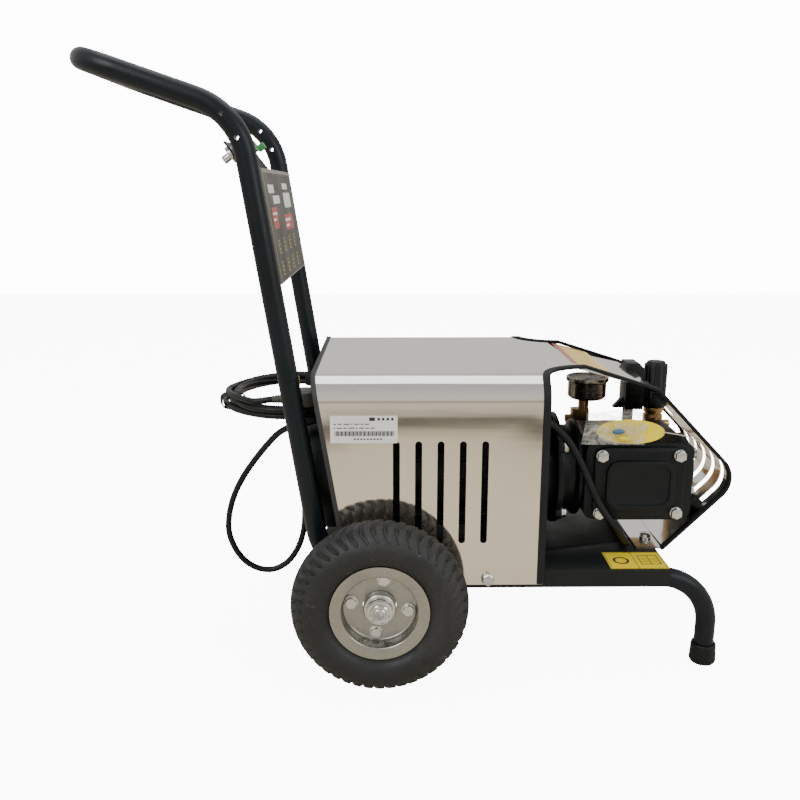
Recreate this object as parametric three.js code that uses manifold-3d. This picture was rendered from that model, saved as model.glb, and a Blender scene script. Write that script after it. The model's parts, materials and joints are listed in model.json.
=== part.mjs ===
// Electric pressure washer on a two-wheel trolley. Units are millimetres, +Z is up.
// The machine frame has the wheel axle at X = 0, the pump end at +X and the handle at -X.
// The exported group is shifted so that its origin is under the middle of the machine, on the floor.
import * as THREE from "three";
import { mergeVertices } from "three/addons/utils/BufferGeometryUtils.js";
import Module from "manifold-3d";

const wasm = await Module();
wasm.setup();

// ---------------------------------------------------------------- driving dimensions
const ORIGIN_X = 54.1; // middle of the overall length, measured from the axle
const GAP = 0.3; // clearance between pieces that touch

// trolley frame: one inch steel tube
const TUBE_R = 12.7;
const TUBE_BORE = 10.8;
const TUBE_SIDES = 10;
const SIDE_Y = 145.5; // tube centre lines
const RAIL_Z = 121;
const LEAN = 0.152; // rearward run of the uprights per unit of height
const UPRIGHT_X0 = -52.3; // where the upright's line meets the floor
const JOINT_Z = 382.4;
const LEG_X = 426.5;
const LEG_BEND = 65;
const BEND_R = 80;
const BEND_STEP = 0.36; // radians of bend per facet
const uprightX = (z) => UPRIGHT_X0 - LEAN * z;
const lean = Math.atan(LEAN);

// handle
const HANDLE_BEND = [uprightX(691.8), 691.8];
const GRIP_X = -344.5;
const GRIP_SLOPE = 0.337;
const gripZ = HANDLE_BEND[1] + GRIP_SLOPE * (HANDLE_BEND[0] - GRIP_X);
const GRIP_CORNER = 58;
const SPIGOT = 45;

// wheels: 2.50-4 tyres
const WHEEL_Y = 199;
const TYRE_R = 110;
const RIM_R = 61;
const AXLE_R = 8;
const WHEEL_SIDES = 24;
const RIM_BOLTS = { radius: 35.5, phase: 0.148, across: 13, count: 4 };

// base tray and cover
const TRAY_TOP = 137;
const TRAY_FRONT = 371;
const TRAY_Y = 160.6;
const COVER_Y = 162.1;
const COVER_TOP = 387.8;
const COVER_LOW = 118.6;
const COVER_FRONT = 206.5;
const COVER_CORNER = 32;
const SHEET = 1.2;
const NOSE_Y = 95; // half width of the nose strip
const NOSE_FOLD = [246, COVER_TOP];
const NOSE_BROW = [359, 357.6];
const NOSE_TIP = [476, 236];
const NOSE_END = [380, TRAY_TOP + GAP];
const NOSE_FLANGE = 345;
const REAR_EDGE = [-35.7, 100]; // where the cover's slanted rear edge starts
const REAR_SLOPE = 0.16;
const SLOT = { first: 20.8, pitch: 27.3, count: 5, low: 175.5, high: 309, width: 8.4 };
const HATCH = { x0: 350, x1: 428, y0: 24, y1: 80 }; // cut-out for the knob and the pressure switch

// motor and pump
const SHAFT_Z = 235;
const SHAFT_Y = -35;
const MOTOR_R = 80;
const COWL_R = 83;
const COWL_REAR = -100;
const CRANK = { x0: 268, x1: 409, y0: -104, y1: 12, z0: 184, z1: 288 };
const PLATE = { x: 337, w: 118, h: 98, boltX: 50.3, boltZ: 39.2, t: 8 };
const HEAD = { x0: 282, x1: 412, y0: 20, y1: 66, z0: 192, z1: 262 };
const FITTINGS_Y = 50;
const GAUGE = { x: 300.5, low: 312, high: 344, r: 29 };
const KNOB = { x: 399.5, low: 299, high: 366, r: 16.6 };
const SWITCH_BOX = { x0: 353, x1: 380, low: 298, high: 366 };

// cords
const CORD_R = 4.25;
const COIL = { x: -121, y: 9, rx: 99, ry: 121, low: 320, height: 17.6, width: 30 };

// ---------------------------------------------------------------- geometry helpers
const V = (x, y, z) => new THREE.Vector3(x, y, z);

// A closed geometry as a manifold solid, with its shared vertices merged.
function solid(geometry) {
  const bare = geometry.clone();
  bare.deleteAttribute("normal");
  bare.deleteAttribute("uv");
  const merged = mergeVertices(bare, 1e-4);
  return new wasm.Manifold(
    new wasm.Mesh({
      numProp: 3,
      vertProperties: merged.attributes.position.array,
      triVerts: new Uint32Array(merged.index.array),
    }),
  );
}

// A manifold solid as a BufferGeometry.
function geometryOf(made) {
  const mesh = made.getMesh();
  const geometry = new THREE.BufferGeometry();
  geometry.setAttribute("position", new THREE.BufferAttribute(mesh.vertProperties, 3));
  geometry.setIndex(new THREE.BufferAttribute(mesh.triVerts, 1));
  geometry.computeVertexNormals();
  return geometry;
}

const join = (...parts) => geometryOf(parts.map(solid).reduce((a, b) => a.add(b)));
const cut = (body, ...tools) =>
  geometryOf(tools.map(solid).reduce((a, b) => a.subtract(b), solid(body)));

// A box between two corners.
function block(x0, x1, y0, y1, z0, z1) {
  const made = new THREE.BoxGeometry(x1 - x0, y1 - y0, z1 - z0);
  return made.translate((x0 + x1) / 2, (y0 + y1) / 2, (z0 + z1) / 2);
}

// A cylinder or prism whose axis runs from one point to another.
function rod(from, to, radius, sides = 16, endRadius = radius) {
  const along = to.clone().sub(from);
  const made = new THREE.CylinderGeometry(endRadius, radius, along.length(), sides);
  const turn = new THREE.Quaternion().setFromUnitVectors(V(0, 1, 0), along.clone().normalize());
  made.applyQuaternion(turn);
  return made.translate(...from.clone().addScaledVector(along, 0.5).toArray());
}

const rodX = (x0, x1, y, z, r, sides, r1) => rod(V(x0, y, z), V(x1, y, z), r, sides, r1);
const rodY = (x, y0, y1, z, r, sides, r1) => rod(V(x, y0, z), V(x, y1, z), r, sides, r1);
const rodZ = (x, y, z0, z1, r, sides, r1) => rod(V(x, y, z0), V(x, y, z1), r, sides, r1);

const outline = (points) => new THREE.Shape(points.map(([a, b]) => new THREE.Vector2(a, b)));
const prism = (shape, depth) =>
  new THREE.ExtrudeGeometry(shape, { depth, bevelEnabled: false, curveSegments: 6 });

// Extrusions of an outline drawn in XZ, YZ or XY, between two values of the third axis.
const alongY = (shape, y0, y1) => prism(shape, y1 - y0).rotateX(Math.PI / 2).translate(0, y1, 0);
const alongZ = (shape, z0, z1) => prism(shape, z1 - z0).translate(0, 0, z0);
function alongX(shape, x0, x1) {
  const made = prism(shape, x1 - x0);
  return made.rotateX(Math.PI / 2).rotateZ(Math.PI / 2).translate(x0, 0, 0);
}

// The points of an arc about a centre, from one angle to another.
function arc(cx, cy, r, a0, a1, steps) {
  const points = [];
  for (let i = 0; i <= steps; i++) {
    const a = a0 + ((a1 - a0) * i) / steps;
    points.push([cx + r * Math.cos(a), cy + r * Math.sin(a)]);
  }
  return points;
}

// A polyline with each inner corner rounded to its radius.
function rounded(corners, radii, step = BEND_STEP) {
  const points = [corners[0].clone()];
  for (let i = 1; i < corners.length - 1; i++) {
    const back = corners[i - 1].clone().sub(corners[i]).normalize();
    const on = corners[i + 1].clone().sub(corners[i]).normalize();
    const turn = Math.PI - back.angleTo(on);
    const radius = radii[i - 1];
    const reach = radius * Math.tan(turn / 2);
    const start = corners[i].clone().addScaledVector(back, reach);
    const middle = back.clone().add(on).normalize();
    const centre = corners[i].clone().addScaledVector(middle, radius / Math.cos(turn / 2));
    const arm = start.clone().sub(centre);
    const axis = back.clone().negate().cross(on).normalize();
    const steps = Math.max(2, Math.ceil(turn / step));
    for (let k = 0; k <= steps; k++) {
      points.push(centre.clone().add(arm.clone().applyAxisAngle(axis, (turn * k) / steps)));
    }
  }
  points.push(corners[corners.length - 1].clone());
  return points;
}

// A curve that passes one section through each of its points.
class Route extends THREE.Curve {
  constructor(points) {
    super();
    this.points = points;
  }
  getPoint(t, target = new THREE.Vector3()) {
    const last = this.points.length - 1;
    const i = Math.min(Math.floor(t * last + 1e-6), last - 1);
    return target.lerpVectors(this.points[i], this.points[i + 1], t * last - i);
  }
  getPointAt(u, target) {
    return this.getPoint(u, target);
  }
  getTangentAt(u, target = new THREE.Vector3()) {
    const last = this.points.length - 1;
    const i = Math.round(u * last);
    const before = this.points[Math.max(i - 1, 0)];
    const here = this.points[i];
    const after = this.points[Math.min(i + 1, last)];
    const way = here.clone().sub(before).normalize().add(after.clone().sub(here).normalize());
    return target.copy(way.normalize());
  }
}

function ring(radius, sides) {
  return arc(0, 0, radius, 0, (2 * Math.PI * (sides - 1)) / sides, sides - 1);
}

// A section swept along a list of points.
function sweep(points, section, bore) {
  const shape = outline(section);
  if (bore) shape.holes.push(new THREE.Path(outline(bore).getPoints()));
  const path = new Route(points);
  return new THREE.ExtrudeGeometry(shape, { steps: points.length - 1, extrudePath: path });
}

const pipe = (points, radius, sides, bore) =>
  sweep(points, ring(radius, sides), bore && ring(bore, sides));

// A closed profile of (radius, height) pairs turned about Y, on the wheel or motor axis.
function turned(profile, sides) {
  const closed = [...profile, profile[0]].map(([r, h]) => new THREE.Vector2(r, h));
  const area = closed.reduce((sum, p, i) => {
    const q = closed[(i + 1) % closed.length];
    return sum + p.x * q.y - q.x * p.y;
  }, 0);
  return new THREE.LatheGeometry(area < 0 ? closed.reverse() : closed, sides);
}

const turnedX = (profile, sides, y = SHAFT_Y, z = SHAFT_Z) =>
  turned(profile, sides).rotateZ(-Math.PI / 2).translate(0, y, z);
const turnedZ = (profile, sides, x, y) =>
  turned(profile, sides).rotateX(Math.PI / 2).translate(x, y, 0);

// A sheet of even thickness that follows a polyline, on its right-hand side.
function sheetOutline(points, thickness) {
  const inner = points.map(([x, y], i) => {
    const [ax, ay] = points[Math.max(i - 1, 0)];
    const [bx, by] = points[Math.min(i + 1, points.length - 1)];
    const before = Math.atan2(y - ay, x - ax);
    const after = Math.atan2(by - y, bx - x);
    const first = i === 0 ? after : before;
    const second = i === points.length - 1 ? before : after;
    const turn = Math.atan2(Math.sin(second - first), Math.cos(second - first));
    const way = first + turn / 2 - Math.PI / 2;
    const reach = thickness / Math.cos(turn / 2);
    return [x + reach * Math.cos(way), y + reach * Math.sin(way)];
  });
  return outline([...points, ...inner.reverse()]);
}

const fillet = (corners, radii, step) =>
  rounded(corners.map(([x, z]) => V(x, 0, z)), radii, step).map((p) => [p.x, p.z]);

// ---------------------------------------------------------------- materials
const finish = (color, roughness, metalness) =>
  new THREE.MeshStandardMaterial({ color, roughness, metalness });
const BLACK_PAINT = finish(0x1d2123, 0.5, 0.1);
const STEEL = finish(0xcfc9bf, 0.2, 1);
const ZINC = finish(0xbcbcb8, 0.35, 1);
const RUBBER = finish(0x17181a, 0.85, 0);
const PLASTIC = finish(0x16181a, 0.55, 0);
const BRASS = finish(0xa9783c, 0.35, 1);
const CAST = finish(0x15181a, 0.55, 0.2);
const GREY = finish(0x55585a, 0.6, 0);
const GREEN = finish(0x2c7a3d, 0.5, 0);
const GLASS = finish(0xdfe4e4, 0.1, 0);

const machine = new THREE.Group();
function add(name, geometry, material) {
  const mesh = new THREE.Mesh(geometry, material);
  mesh.name = name;
  machine.add(mesh);
}

const SIDES = [
  ["right", -1],
  ["left", 1],
];

// ---------------------------------------------------------------- frame and handle
function frameRail(side) {
  const y = side * SIDE_Y;
  const corners = [
    V(uprightX(JOINT_Z), y, JOINT_Z),
    V(uprightX(RAIL_Z), y, RAIL_Z),
    V(LEG_X, y, RAIL_Z),
    V(LEG_X, y, 7),
  ];
  const tube = pipe(rounded(corners, [BEND_R, LEG_BEND]), TUBE_R, TUBE_SIDES, TUBE_BORE);
  return cut(tube, rodY(0, y - 20, y + 20, TYRE_R, AXLE_R + GAP, 20));
}

// Rubber cap on the end of a leg: a cup that the tube stands in.
function footCap(side) {
  const profile = [
    [0, 0],
    [15.5, 0],
    [17, 3],
    [16, 25],
    [13.2, 27],
    [13.2, 6.5],
    [0, 6.5],
  ];
  return turnedZ(profile, 16, LEG_X, side * SIDE_Y);
}

function handleTube() {
  const half = [
    [-SIDE_Y, JOINT_Z + GAP],
    [-SIDE_Y, HANDLE_BEND[1]],
  ];
  const side = half.map(([y, z]) => V(uprightX(z), y, z));
  const corner = V(GRIP_X, -SIDE_Y, gripZ);
  const mirror = (p) => V(p.x, -p.y, p.z);
  const corners = [...side, corner, mirror(corner), mirror(side[1]), mirror(side[0])];
  const radii = [BEND_R, GRIP_CORNER, GRIP_CORNER, BEND_R];
  const tube = pipe(rounded(corners, radii), TUBE_R, TUBE_SIDES, TUBE_BORE - 0.5);
  const way = V(-LEAN, 0, 1).normalize();
  const spigots = SIDES.map(([, s]) => {
    const top = V(uprightX(JOINT_Z), s * SIDE_Y, JOINT_Z + GAP);
    const low = top.clone().addScaledVector(way, -SPIGOT);
    const high = top.clone().addScaledVector(way, 14);
    const sleeve = join(rod(low, high, 10.1, 10), rod(top, high, 11.4, 10));
    const beyond = [low.clone().addScaledVector(way, -5), high.clone().addScaledVector(way, 5)];
    return cut(sleeve, rod(beyond[0], beyond[1], 8.2, 8));
  });
  const holes = [
    [-174.5, 689.8],
    [-158.6, 664.1],
  ];
  const drills = holes.map(([x, z]) => rodY(x, -170, 170, z, 3.2, 6));
  return cut(join(tube, ...spigots), ...drills);
}

// Grey sheet panel between the uprights, a shallow tray open to the rear.
const PANEL = { low: 495, high: 630, half: 131.5, depth: 18, face: 12.9 };
function leaning(geometry) {
  return geometry.rotateY(-lean).translate(UPRIGHT_X0, 0, 0);
}
function controlPanel() {
  const run = Math.sqrt(1 + LEAN * LEAN);
  const [z0, z1] = [PANEL.low * run, PANEL.high * run];
  const outer = block(PANEL.face - PANEL.depth, PANEL.face, -PANEL.half, PANEL.half, z0, z1);
  const inner = block(
    PANEL.face - PANEL.depth - 1,
    PANEL.face - 1.5,
    -PANEL.half + 1.5,
    PANEL.half - 1.5,
    z0 + 1.5,
    z1 - 1.5,
  );
  return leaning(cut(outer, inner));
}

// Black plate that carries the push switch, its top tilted back over the panel's upper edge.
const PLATE_TILT = -0.65;
const PLATE_HALF = 112;
const SWITCH = V(-173, -88, 651);
function onSwitchPlate(geometry) {
  return geometry.rotateY(PLATE_TILT).translate(SWITCH.x, 0, SWITCH.z);
}
const switchPlate = () =>
  onSwitchPlate(
    cut(block(-1, 1, -PLATE_HALF, PLATE_HALF, -27, 14), rodX(-5, 5, SWITCH.y, 0, 8.4, 16)),
  );
const switchBody = () =>
  onSwitchPlate(
    cut(
      join(rodX(-4, 20, SWITCH.y, 0, 8, 16), rodX(-7, -1.3, SWITCH.y, 0, 11, 16)),
      rodX(-10, 12, SWITCH.y, 0, 5.4, 16),
    ),
  );
const startButton = () => onSwitchPlate(rodX(-17, 5, SWITCH.y, 0, 5, 16));
function circuitBoard() {
  const board = block(14, 15.6, -34, 40, -4, 14);
  const posts = [-28, 34].map((y) => rodX(1.3, 14.5, y, 5, 3, 8));
  const relay = block(6, 14.5, -12, 18, -3, 9);
  const socket = block(15, 24, 24, 39, -4, 4);
  return onSwitchPlate(join(board, ...posts, relay, socket));
}

// ---------------------------------------------------------------- wheels
function hexHead(x, y0, y1, z, across) {
  return rodY(x, y0, y1, z, across / Math.sqrt(3), 6);
}

function axle() {
  const end = 226;
  let made = rodY(0, -end, end, TYRE_R, AXLE_R, 16);
  for (const [, s] of SIDES) {
    made = join(made, rodY(0, s * 162.6, s * 170.4, TYRE_R, 12, 16));
  }
  const hollows = SIDES.map(([, s]) => rodY(0, s * (end - 9), s * (end + 5), TYRE_R, 5.8, 10));
  return cut(made, ...hollows);
}

function axleNut(side) {
  const washer = rodY(0, side * 218.4, side * 220.4, TYRE_R, 15.5, 20);
  const nut = hexHead(0, side * 220, side * 224.5, TYRE_R, 22);
  return cut(join(washer, nut), rodY(0, side * 210, side * 235, TYRE_R, AXLE_R + 0.25, 20));
}

// Wheel pieces are drawn about Y with +Y outward, then placed on their side of the machine.
function placeWheel(geometry, side) {
  const made = side > 0 ? geometry : geometry.rotateZ(Math.PI);
  return made.translate(0, side * WHEEL_Y, TYRE_R);
}

function tyre(side) {
  const half = [
    [50.6, 19],
    [61.6, 20.6],
    [66, 27.5],
    [77, 32],
    [88, 31],
    [97.5, 25.5],
    [104.5, 18],
    [108.3, 10],
  ];
  const profile = [...half, [TYRE_R, 0], ...half.map(([r, h]) => [r, -h]).reverse()];
  return placeWheel(turned(profile, WHEEL_SIDES), side);
}

const RIM_BARREL = 48.4;
function rimProfile(out) {
  const line = [
    [20.6, -0.9],
    [44.5, -0.9],
    [RIM_BARREL, 3.4],
    [RIM_BARREL, 20],
    [RIM_R, 21.2],
    [RIM_R, 23],
    [46.4, 21.6],
    [46.4, 4],
    [43.5, 1],
    [20.6, 1],
  ];
  return line.map(([r, h]) => [r, out ? h : -h - 2.2]);
}
// The outer half carries the heads of the bolts that clamp both halves; the inner half their nuts.
function rimHalf(side, out) {
  const disc = turned(rimProfile(out), WHEEL_SIDES);
  const [y0, y1] = out ? [0.5, 7] : [-9, -2.7];
  const heads = [];
  for (let i = 0; i < RIM_BOLTS.count; i++) {
    const a = RIM_BOLTS.phase + (i * 2 * Math.PI) / RIM_BOLTS.count;
    const [x, z] = [RIM_BOLTS.radius * Math.cos(a), RIM_BOLTS.radius * Math.sin(a)];
    heads.push(hexHead(x, y0, y1, z, RIM_BOLTS.across));
  }
  return placeWheel(join(disc, ...heads), side);
}

// Bearing housing pressed through both rim discs.
function wheelHub(side) {
  const profile = [
    [AXLE_R + 0.4, -28],
    [20.2, -28],
    [20.2, 11],
    [18.5, 13],
    [16.2, 13],
    [16.2, 19],
    [AXLE_R + 0.4, 19],
  ];
  return placeWheel(turned(profile, 20), side);
}

// ---------------------------------------------------------------- tray and cover
function baseTray() {
  const [top, low, t] = [TRAY_TOP, 113.5, 2];
  const section = outline([
    [-TRAY_Y, low],
    [-TRAY_Y, top],
    [TRAY_Y, top],
    [TRAY_Y, low],
    [TRAY_Y - t, low],
    [TRAY_Y - t, top - t],
    [-TRAY_Y + t, top - t],
    [-TRAY_Y + t, low],
  ]);
  const deck = alongX(section, 14, TRAY_FRONT);
  const tongue = block(-78, 20, -130, 130, top - t, top);
  const bolts = [rodY(136.7, -170, 170, 126.7, 4.3, 12)];
  return cut(join(deck, tongue), ...bolts, rodZ(366, -60, 120, 145, 3.3, 10));
}

function noseLine() {
  const corners = [[232, COVER_TOP], NOSE_FOLD, NOSE_BROW, NOSE_TIP, NOSE_END];
  corners.push([NOSE_FLANGE, NOSE_END[1]]);
  return fillet(corners, [10, 12, 34, 5], 0.3);
}

// Distance measured over the sheet, up the side and onto the top, from where the bend starts.
function overShoulder(along, proud = 0) {
  const r = COVER_CORNER;
  const [cy, cz] = [COVER_Y - r, COVER_TOP - r];
  const a = along / r;
  if (a > Math.PI / 2) return { y: cy - (along - (r * Math.PI) / 2), z: COVER_TOP + proud };
  if (a < 0) return { y: COVER_Y + proud, z: cz + along };
  return { y: cy + (r + proud) * Math.cos(a), z: cz + (r + proud) * Math.sin(a) };
}
// The cut-out's inner corner in the flat sheet: X against the distance over the shoulder.
const MOUTH_R = 57;
const MOUTH_X = COVER_FRONT + MOUTH_R;
const STRIP_ALONG = (COVER_CORNER * Math.PI) / 2 + (COVER_Y - COVER_CORNER - NOSE_Y);
function cutCorner(r, steps) {
  const centre = STRIP_ALONG - MOUTH_R;
  return arc(MOUTH_X, centre, r, Math.PI, Math.PI / 2, steps);
}

function coverShell() {
  const hood = (y, z, r) => [
    [-y, COVER_LOW - 1],
    ...arc(-y + r, z - r, r, Math.PI, Math.PI / 2, 5),
    ...arc(y - r, z - r, r, Math.PI / 2, 0, 5),
    [y, COVER_LOW - 1],
  ];
  const section = outline([
    ...hood(COVER_Y, COVER_TOP, COVER_CORNER),
    ...hood(COVER_Y - SHEET, COVER_TOP - SHEET, COVER_CORNER - SHEET).reverse(),
  ]);
  const wrap = alongX(section, -100, 246);
  const strip = alongY(sheetOutline(noseLine(), SHEET), -NOSE_Y, NOSE_Y);
  const plan = (s) => {
    const corner = cutCorner(MOUTH_R, 8).map(([x, along]) => [x, s * overShoulder(along).y]);
    const points = [[COVER_FRONT, s * 220], ...corner, [300, s * NOSE_Y], [300, s * 220]];
    return alongZ(outline(s > 0 ? points : points.reverse()), 50, 420);
  };
  const rear = outline([
    [-120, 100],
    [REAR_EDGE[0], 100],
    [REAR_EDGE[0] - 300 * REAR_SLOPE, 400],
    [-120, 400],
  ]);
  const trims = [alongY(rear, -200, 200), block(-120, 260, -200, 200, 100, COVER_LOW)];
  const slots = [];
  for (let i = 0; i < SLOT.count; i++) {
    const x = SLOT.first + i * SLOT.pitch;
    const r = SLOT.width / 2;
    const shape = outline([
      ...arc(x, SLOT.high - r, r, 0, Math.PI, 3),
      ...arc(x, SLOT.low + r, r, Math.PI, 2 * Math.PI, 3),
    ]);
    slots.push(alongY(shape, -180, 180));
  }
  const louvres = [-2, -1, 0, 1, 2].map((i) => block(408, 500, i * 34 - 6, i * 34 + 6, 196, 303));
  const hatch = block(HATCH.x0, HATCH.x1, HATCH.y0, HATCH.y1, 282, 400);
  const holes = [rodY(136.7, -170, 170, 126.7, 4.3, 12), rodZ(366, -60, 130, 150, 3.3, 10)];
  return cut(join(wrap, strip), plan(1), plan(-1), ...trims, ...slots, ...louvres, hatch, ...holes);
}

// Rubber edging that runs along a cut edge of the sheet, one bead radius away from it.
const TRIM_R = 2.2;
const TRIM_OUT = TRIM_R + GAP;
const TRIM_Y = COVER_Y + 1;
const TRIM_BEND = COVER_CORNER + 0.6;

// The rounded corner from a side panel up to the flat top, in quarter-circle steps.
function shoulder(xAt, side, steps) {
  return arc(0, 0, TRIM_BEND, 0, Math.PI / 2, steps).map(([out, up]) => {
    const z = COVER_TOP - COVER_CORNER + up;
    return V(xAt(z), side * (COVER_Y - COVER_CORNER + out), z);
  });
}
function frontTrim(side) {
  const points = [V(COVER_FRONT + TRIM_OUT, side * TRIM_Y, COVER_LOW)];
  const upright = [0, 9, 18].map((along) => [COVER_FRONT + TRIM_OUT, along]);
  for (const [x, along] of [...upright, ...cutCorner(MOUTH_R - TRIM_OUT, 6)]) {
    const { y, z } = overShoulder(along, 1);
    points.push(V(x, side * y, z));
  }
  const nose = noseLine().slice(0, -1).filter(([x]) => x > MOUTH_X + 4 || x < 200);
  points.push(...nose.map(([px, pz]) => V(px, side * (NOSE_Y + TRIM_OUT), pz)));
  return pipe(points.filter((p, k) => k === 0 || p.distanceTo(points[k - 1]) > 1), TRIM_R, 6);
}
function rearTrim() {
  const x = (z) => REAR_EDGE[0] - (z - 100) * REAR_SLOPE - TRIM_OUT - GAP;
  const half = [V(x(COVER_LOW), -TRIM_Y, COVER_LOW), ...shoulder(x, -1, 5)];
  const points = [...half, ...half.map((p) => V(p.x, -p.y, p.z)).reverse()];
  return pipe(points, TRIM_R, 6);
}

function coverBolt(side) {
  const y = side * (COVER_Y + GAP);
  const flange = rodY(136.7, y, y + side * 1.6, 126.7, 8.5, 14);
  const head = hexHead(136.7, y + side * 1.4, y + side * 6.4, 126.7, 13);
  const shank = rodY(136.7, y + side, side * 158.6, 126.7, 4, 8);
  return join(flange, head, shank);
}
function noseBolt() {
  const z = NOSE_END[1] + SHEET + GAP;
  const washer = rodZ(366, -60, z, z + 1.4, 8, 20);
  const head = rodZ(366, -60, z + 1.2, z + 6.4, 7.5, 6);
  return join(washer, head, rodZ(366, -60, z + 1, z - 12, 3, 12));
}

// ---------------------------------------------------------------- motor
function motorHousing() {
  const barrel = turnedX([[12, 0], [MOTOR_R - 4, 0], [MOTOR_R - 4, 196], [12, 196]], 24);
  const fins = [];
  for (let i = 0; i < 18; i++) {
    const a = (i * 2 * Math.PI) / 18 + 0.1;
    if (Math.cos(a) > 0.85) continue;
    const fin = block(4, 192, -1.5, 1.5, MOTOR_R - 8, MOTOR_R);
    fins.push(fin.rotateX(a).translate(0, SHAFT_Y, SHAFT_Z));
  }
  const feet = [[20, 60], [136, 176]].map(([x0, x1]) =>
    block(x0, x1, SHAFT_Y - 72, SHAFT_Y + 72, TRAY_TOP + GAP, TRAY_TOP + 12),
  );
  const webs = [[26, 54], [142, 170]].flatMap(([x0, x1]) => [
    block(x0, x1, SHAFT_Y - 64, SHAFT_Y - 48, TRAY_TOP + 10, SHAFT_Z - 40),
    block(x0, x1, SHAFT_Y + 48, SHAFT_Y + 64, TRAY_TOP + 10, SHAFT_Z - 40),
  ]);
  return join(barrel, ...fins, ...feet, ...webs);
}
const motorEndBell = () =>
  turnedX([[9.4, -14], [60, -14], [MOTOR_R - 6, -8], [MOTOR_R - 3, -GAP], [9.4, -GAP]], 20);
function bellHousing() {
  const shell = turnedX(
    [[32, 196 + GAP], [78, 196 + GAP], [78, 208], [70, 214], [58, 250], [58, 258], [66, 262],
      [66, CRANK.x0 - GAP], [32, CRANK.x0 - GAP]],
    20,
  );
  const ears = [0.66, 2.48, 3.8, 5.62].map((a) => {
    const y = SHAFT_Y + 74 * Math.cos(a);
    const z = SHAFT_Z + 74 * Math.sin(a);
    return join(rodX(232, 240, y, z, 9, 8), rodX(239, 246, y, z, 7.5, 6));
  });
  const flange = turnedX([[40, 232], [76, 232], [76, 240], [40, 240]], 20);
  return join(shell, flange, ...ears);
}
function fanCowl() {
  const wall = 1.6;
  const shell = turnedX(
    [[COWL_R - wall, -12], [COWL_R, -12], [COWL_R, COWL_REAR + 8], [COWL_R - 8, COWL_REAR],
      [0, COWL_REAR], [0, COWL_REAR + wall], [COWL_R - 9, COWL_REAR + wall],
      [COWL_R - wall, COWL_REAR + 9]],
    24,
  );
  const slots = [];
  for (let i = 0; i < 12; i++) {
    const slot = block(COWL_REAR - 5, COWL_REAR + 5, -4, 4, 24, 66);
    slots.push(slot.rotateX((i * Math.PI) / 6).translate(0, SHAFT_Y, SHAFT_Z));
  }
  return cut(shell, ...slots);
}
function coolingFan() {
  const hub = turnedX([[9.3, -84], [24, -84], [24, -44], [9.3, -44]], 16);
  const disc = turnedX([[20, -48], [66, -48], [66, -45], [20, -45]], 20);
  const blades = [];
  for (let i = 0; i < 8; i++) {
    const blade = block(-82, -46, -1.2, 1.2, 20, 70);
    blades.push(blade.rotateX((i * Math.PI) / 4).translate(0, SHAFT_Y, SHAFT_Z));
  }
  return join(hub, disc, ...blades);
}
const motorShaft = () => rodX(-88, 260, SHAFT_Y, SHAFT_Z, 9, 16);

const BOX = { x0: 14, x1: 98, y0: -82, y1: 12, low: 317, high: 360 };
function terminalBox() {
  const body = block(BOX.x0, BOX.x1, BOX.y0, BOX.y1, BOX.low, BOX.high);
  const hollow = block(BOX.x0 + 3, BOX.x1 - 3, BOX.y0 + 3, BOX.y1 - 3, BOX.low + 3, BOX.high + 5);
  return cut(body, hollow);
}
function terminalBoxLid() {
  const z = BOX.high + GAP;
  const lid = block(BOX.x0 - 1, BOX.x1 + 1, BOX.y0 - 1, BOX.y1 + 1, z, z + 6);
  const rim = block(BOX.x0 + 4, BOX.x1 - 4, BOX.y0 + 4, BOX.y1 - 4, z - 4, z + 1);
  return join(lid, rim);
}
const GLAND = V(BOX.x0 - GAP, -35, 345);
const cordGland = () =>
  join(
    rodX(GLAND.x, GLAND.x - 5, GLAND.y, GLAND.z, 10, 6),
    rodX(GLAND.x - 4, GLAND.x - 30, GLAND.y, GLAND.z, 8, 12, 5.4),
  );

// ---------------------------------------------------------------- pump
function roundedRect(x0, x1, z0, z1, r) {
  return outline([
    ...arc(x1 - r, z1 - r, r, 0, Math.PI / 2, 3),
    ...arc(x0 + r, z1 - r, r, Math.PI / 2, Math.PI, 3),
    ...arc(x0 + r, z0 + r, r, Math.PI, 1.5 * Math.PI, 3),
    ...arc(x1 - r, z0 + r, r, 1.5 * Math.PI, 2 * Math.PI, 3),
  ]);
}
function crankcase() {
  const { x0, x1, y0, y1, z0, z1 } = CRANK;
  const body = alongY(roundedRect(x0, x1, z0, z1, 12), y0, y1);
  const bearing = turnedX([[0, x1 - 5], [46, x1 - 5], [46, x1 + 8], [40, x1 + 12], [0, x1 + 12]], 20);
  const heads = [];
  for (let i = 0; i < 4; i++) {
    const a = Math.PI / 4 + (i * Math.PI) / 2;
    const [y, z] = [SHAFT_Y + 37 * Math.cos(a), SHAFT_Z + 37 * Math.sin(a)];
    heads.push(rodX(x1 + 7, x1 + 17, y, z, 7.5, 6));
  }
  const guides = [-36, 0, 36].map((d) => rodY(PLATE.x + 10 + d, y1 - 2, HEAD.y0 - GAP, 226, 15, 12));
  const neck = rodZ(300, -70, z1 - 4, z1 + 5, 11, 16);
  return join(body, bearing, ...heads, ...guides, neck);
}
function crankcaseCover() {
  const { x, w, h, t } = PLATE;
  const y = CRANK.y0 - GAP;
  const [x0, x1, z0, z1] = [x - w / 2, x + w / 2, SHAFT_Z - h / 2, SHAFT_Z + h / 2];
  const plate = alongY(roundedRect(x0, x1, z0, z1, 14), y - t, y);
  const boss = alongY(roundedRect(x - 44, x + 44, SHAFT_Z - 33, SHAFT_Z + 33, 16), y - t - 7, y - 2);
  const pan = alongY(roundedRect(x - 38, x + 38, SHAFT_Z - 27, SHAFT_Z + 27, 12), y - t - 9, y - t - 4);
  const holes = BOLTS.map(([bx, bz]) => rodY(bx, y - 20, y + 5, bz, 4.3, 10));
  return cut(join(plate, boss), pan, ...holes);
}
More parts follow.
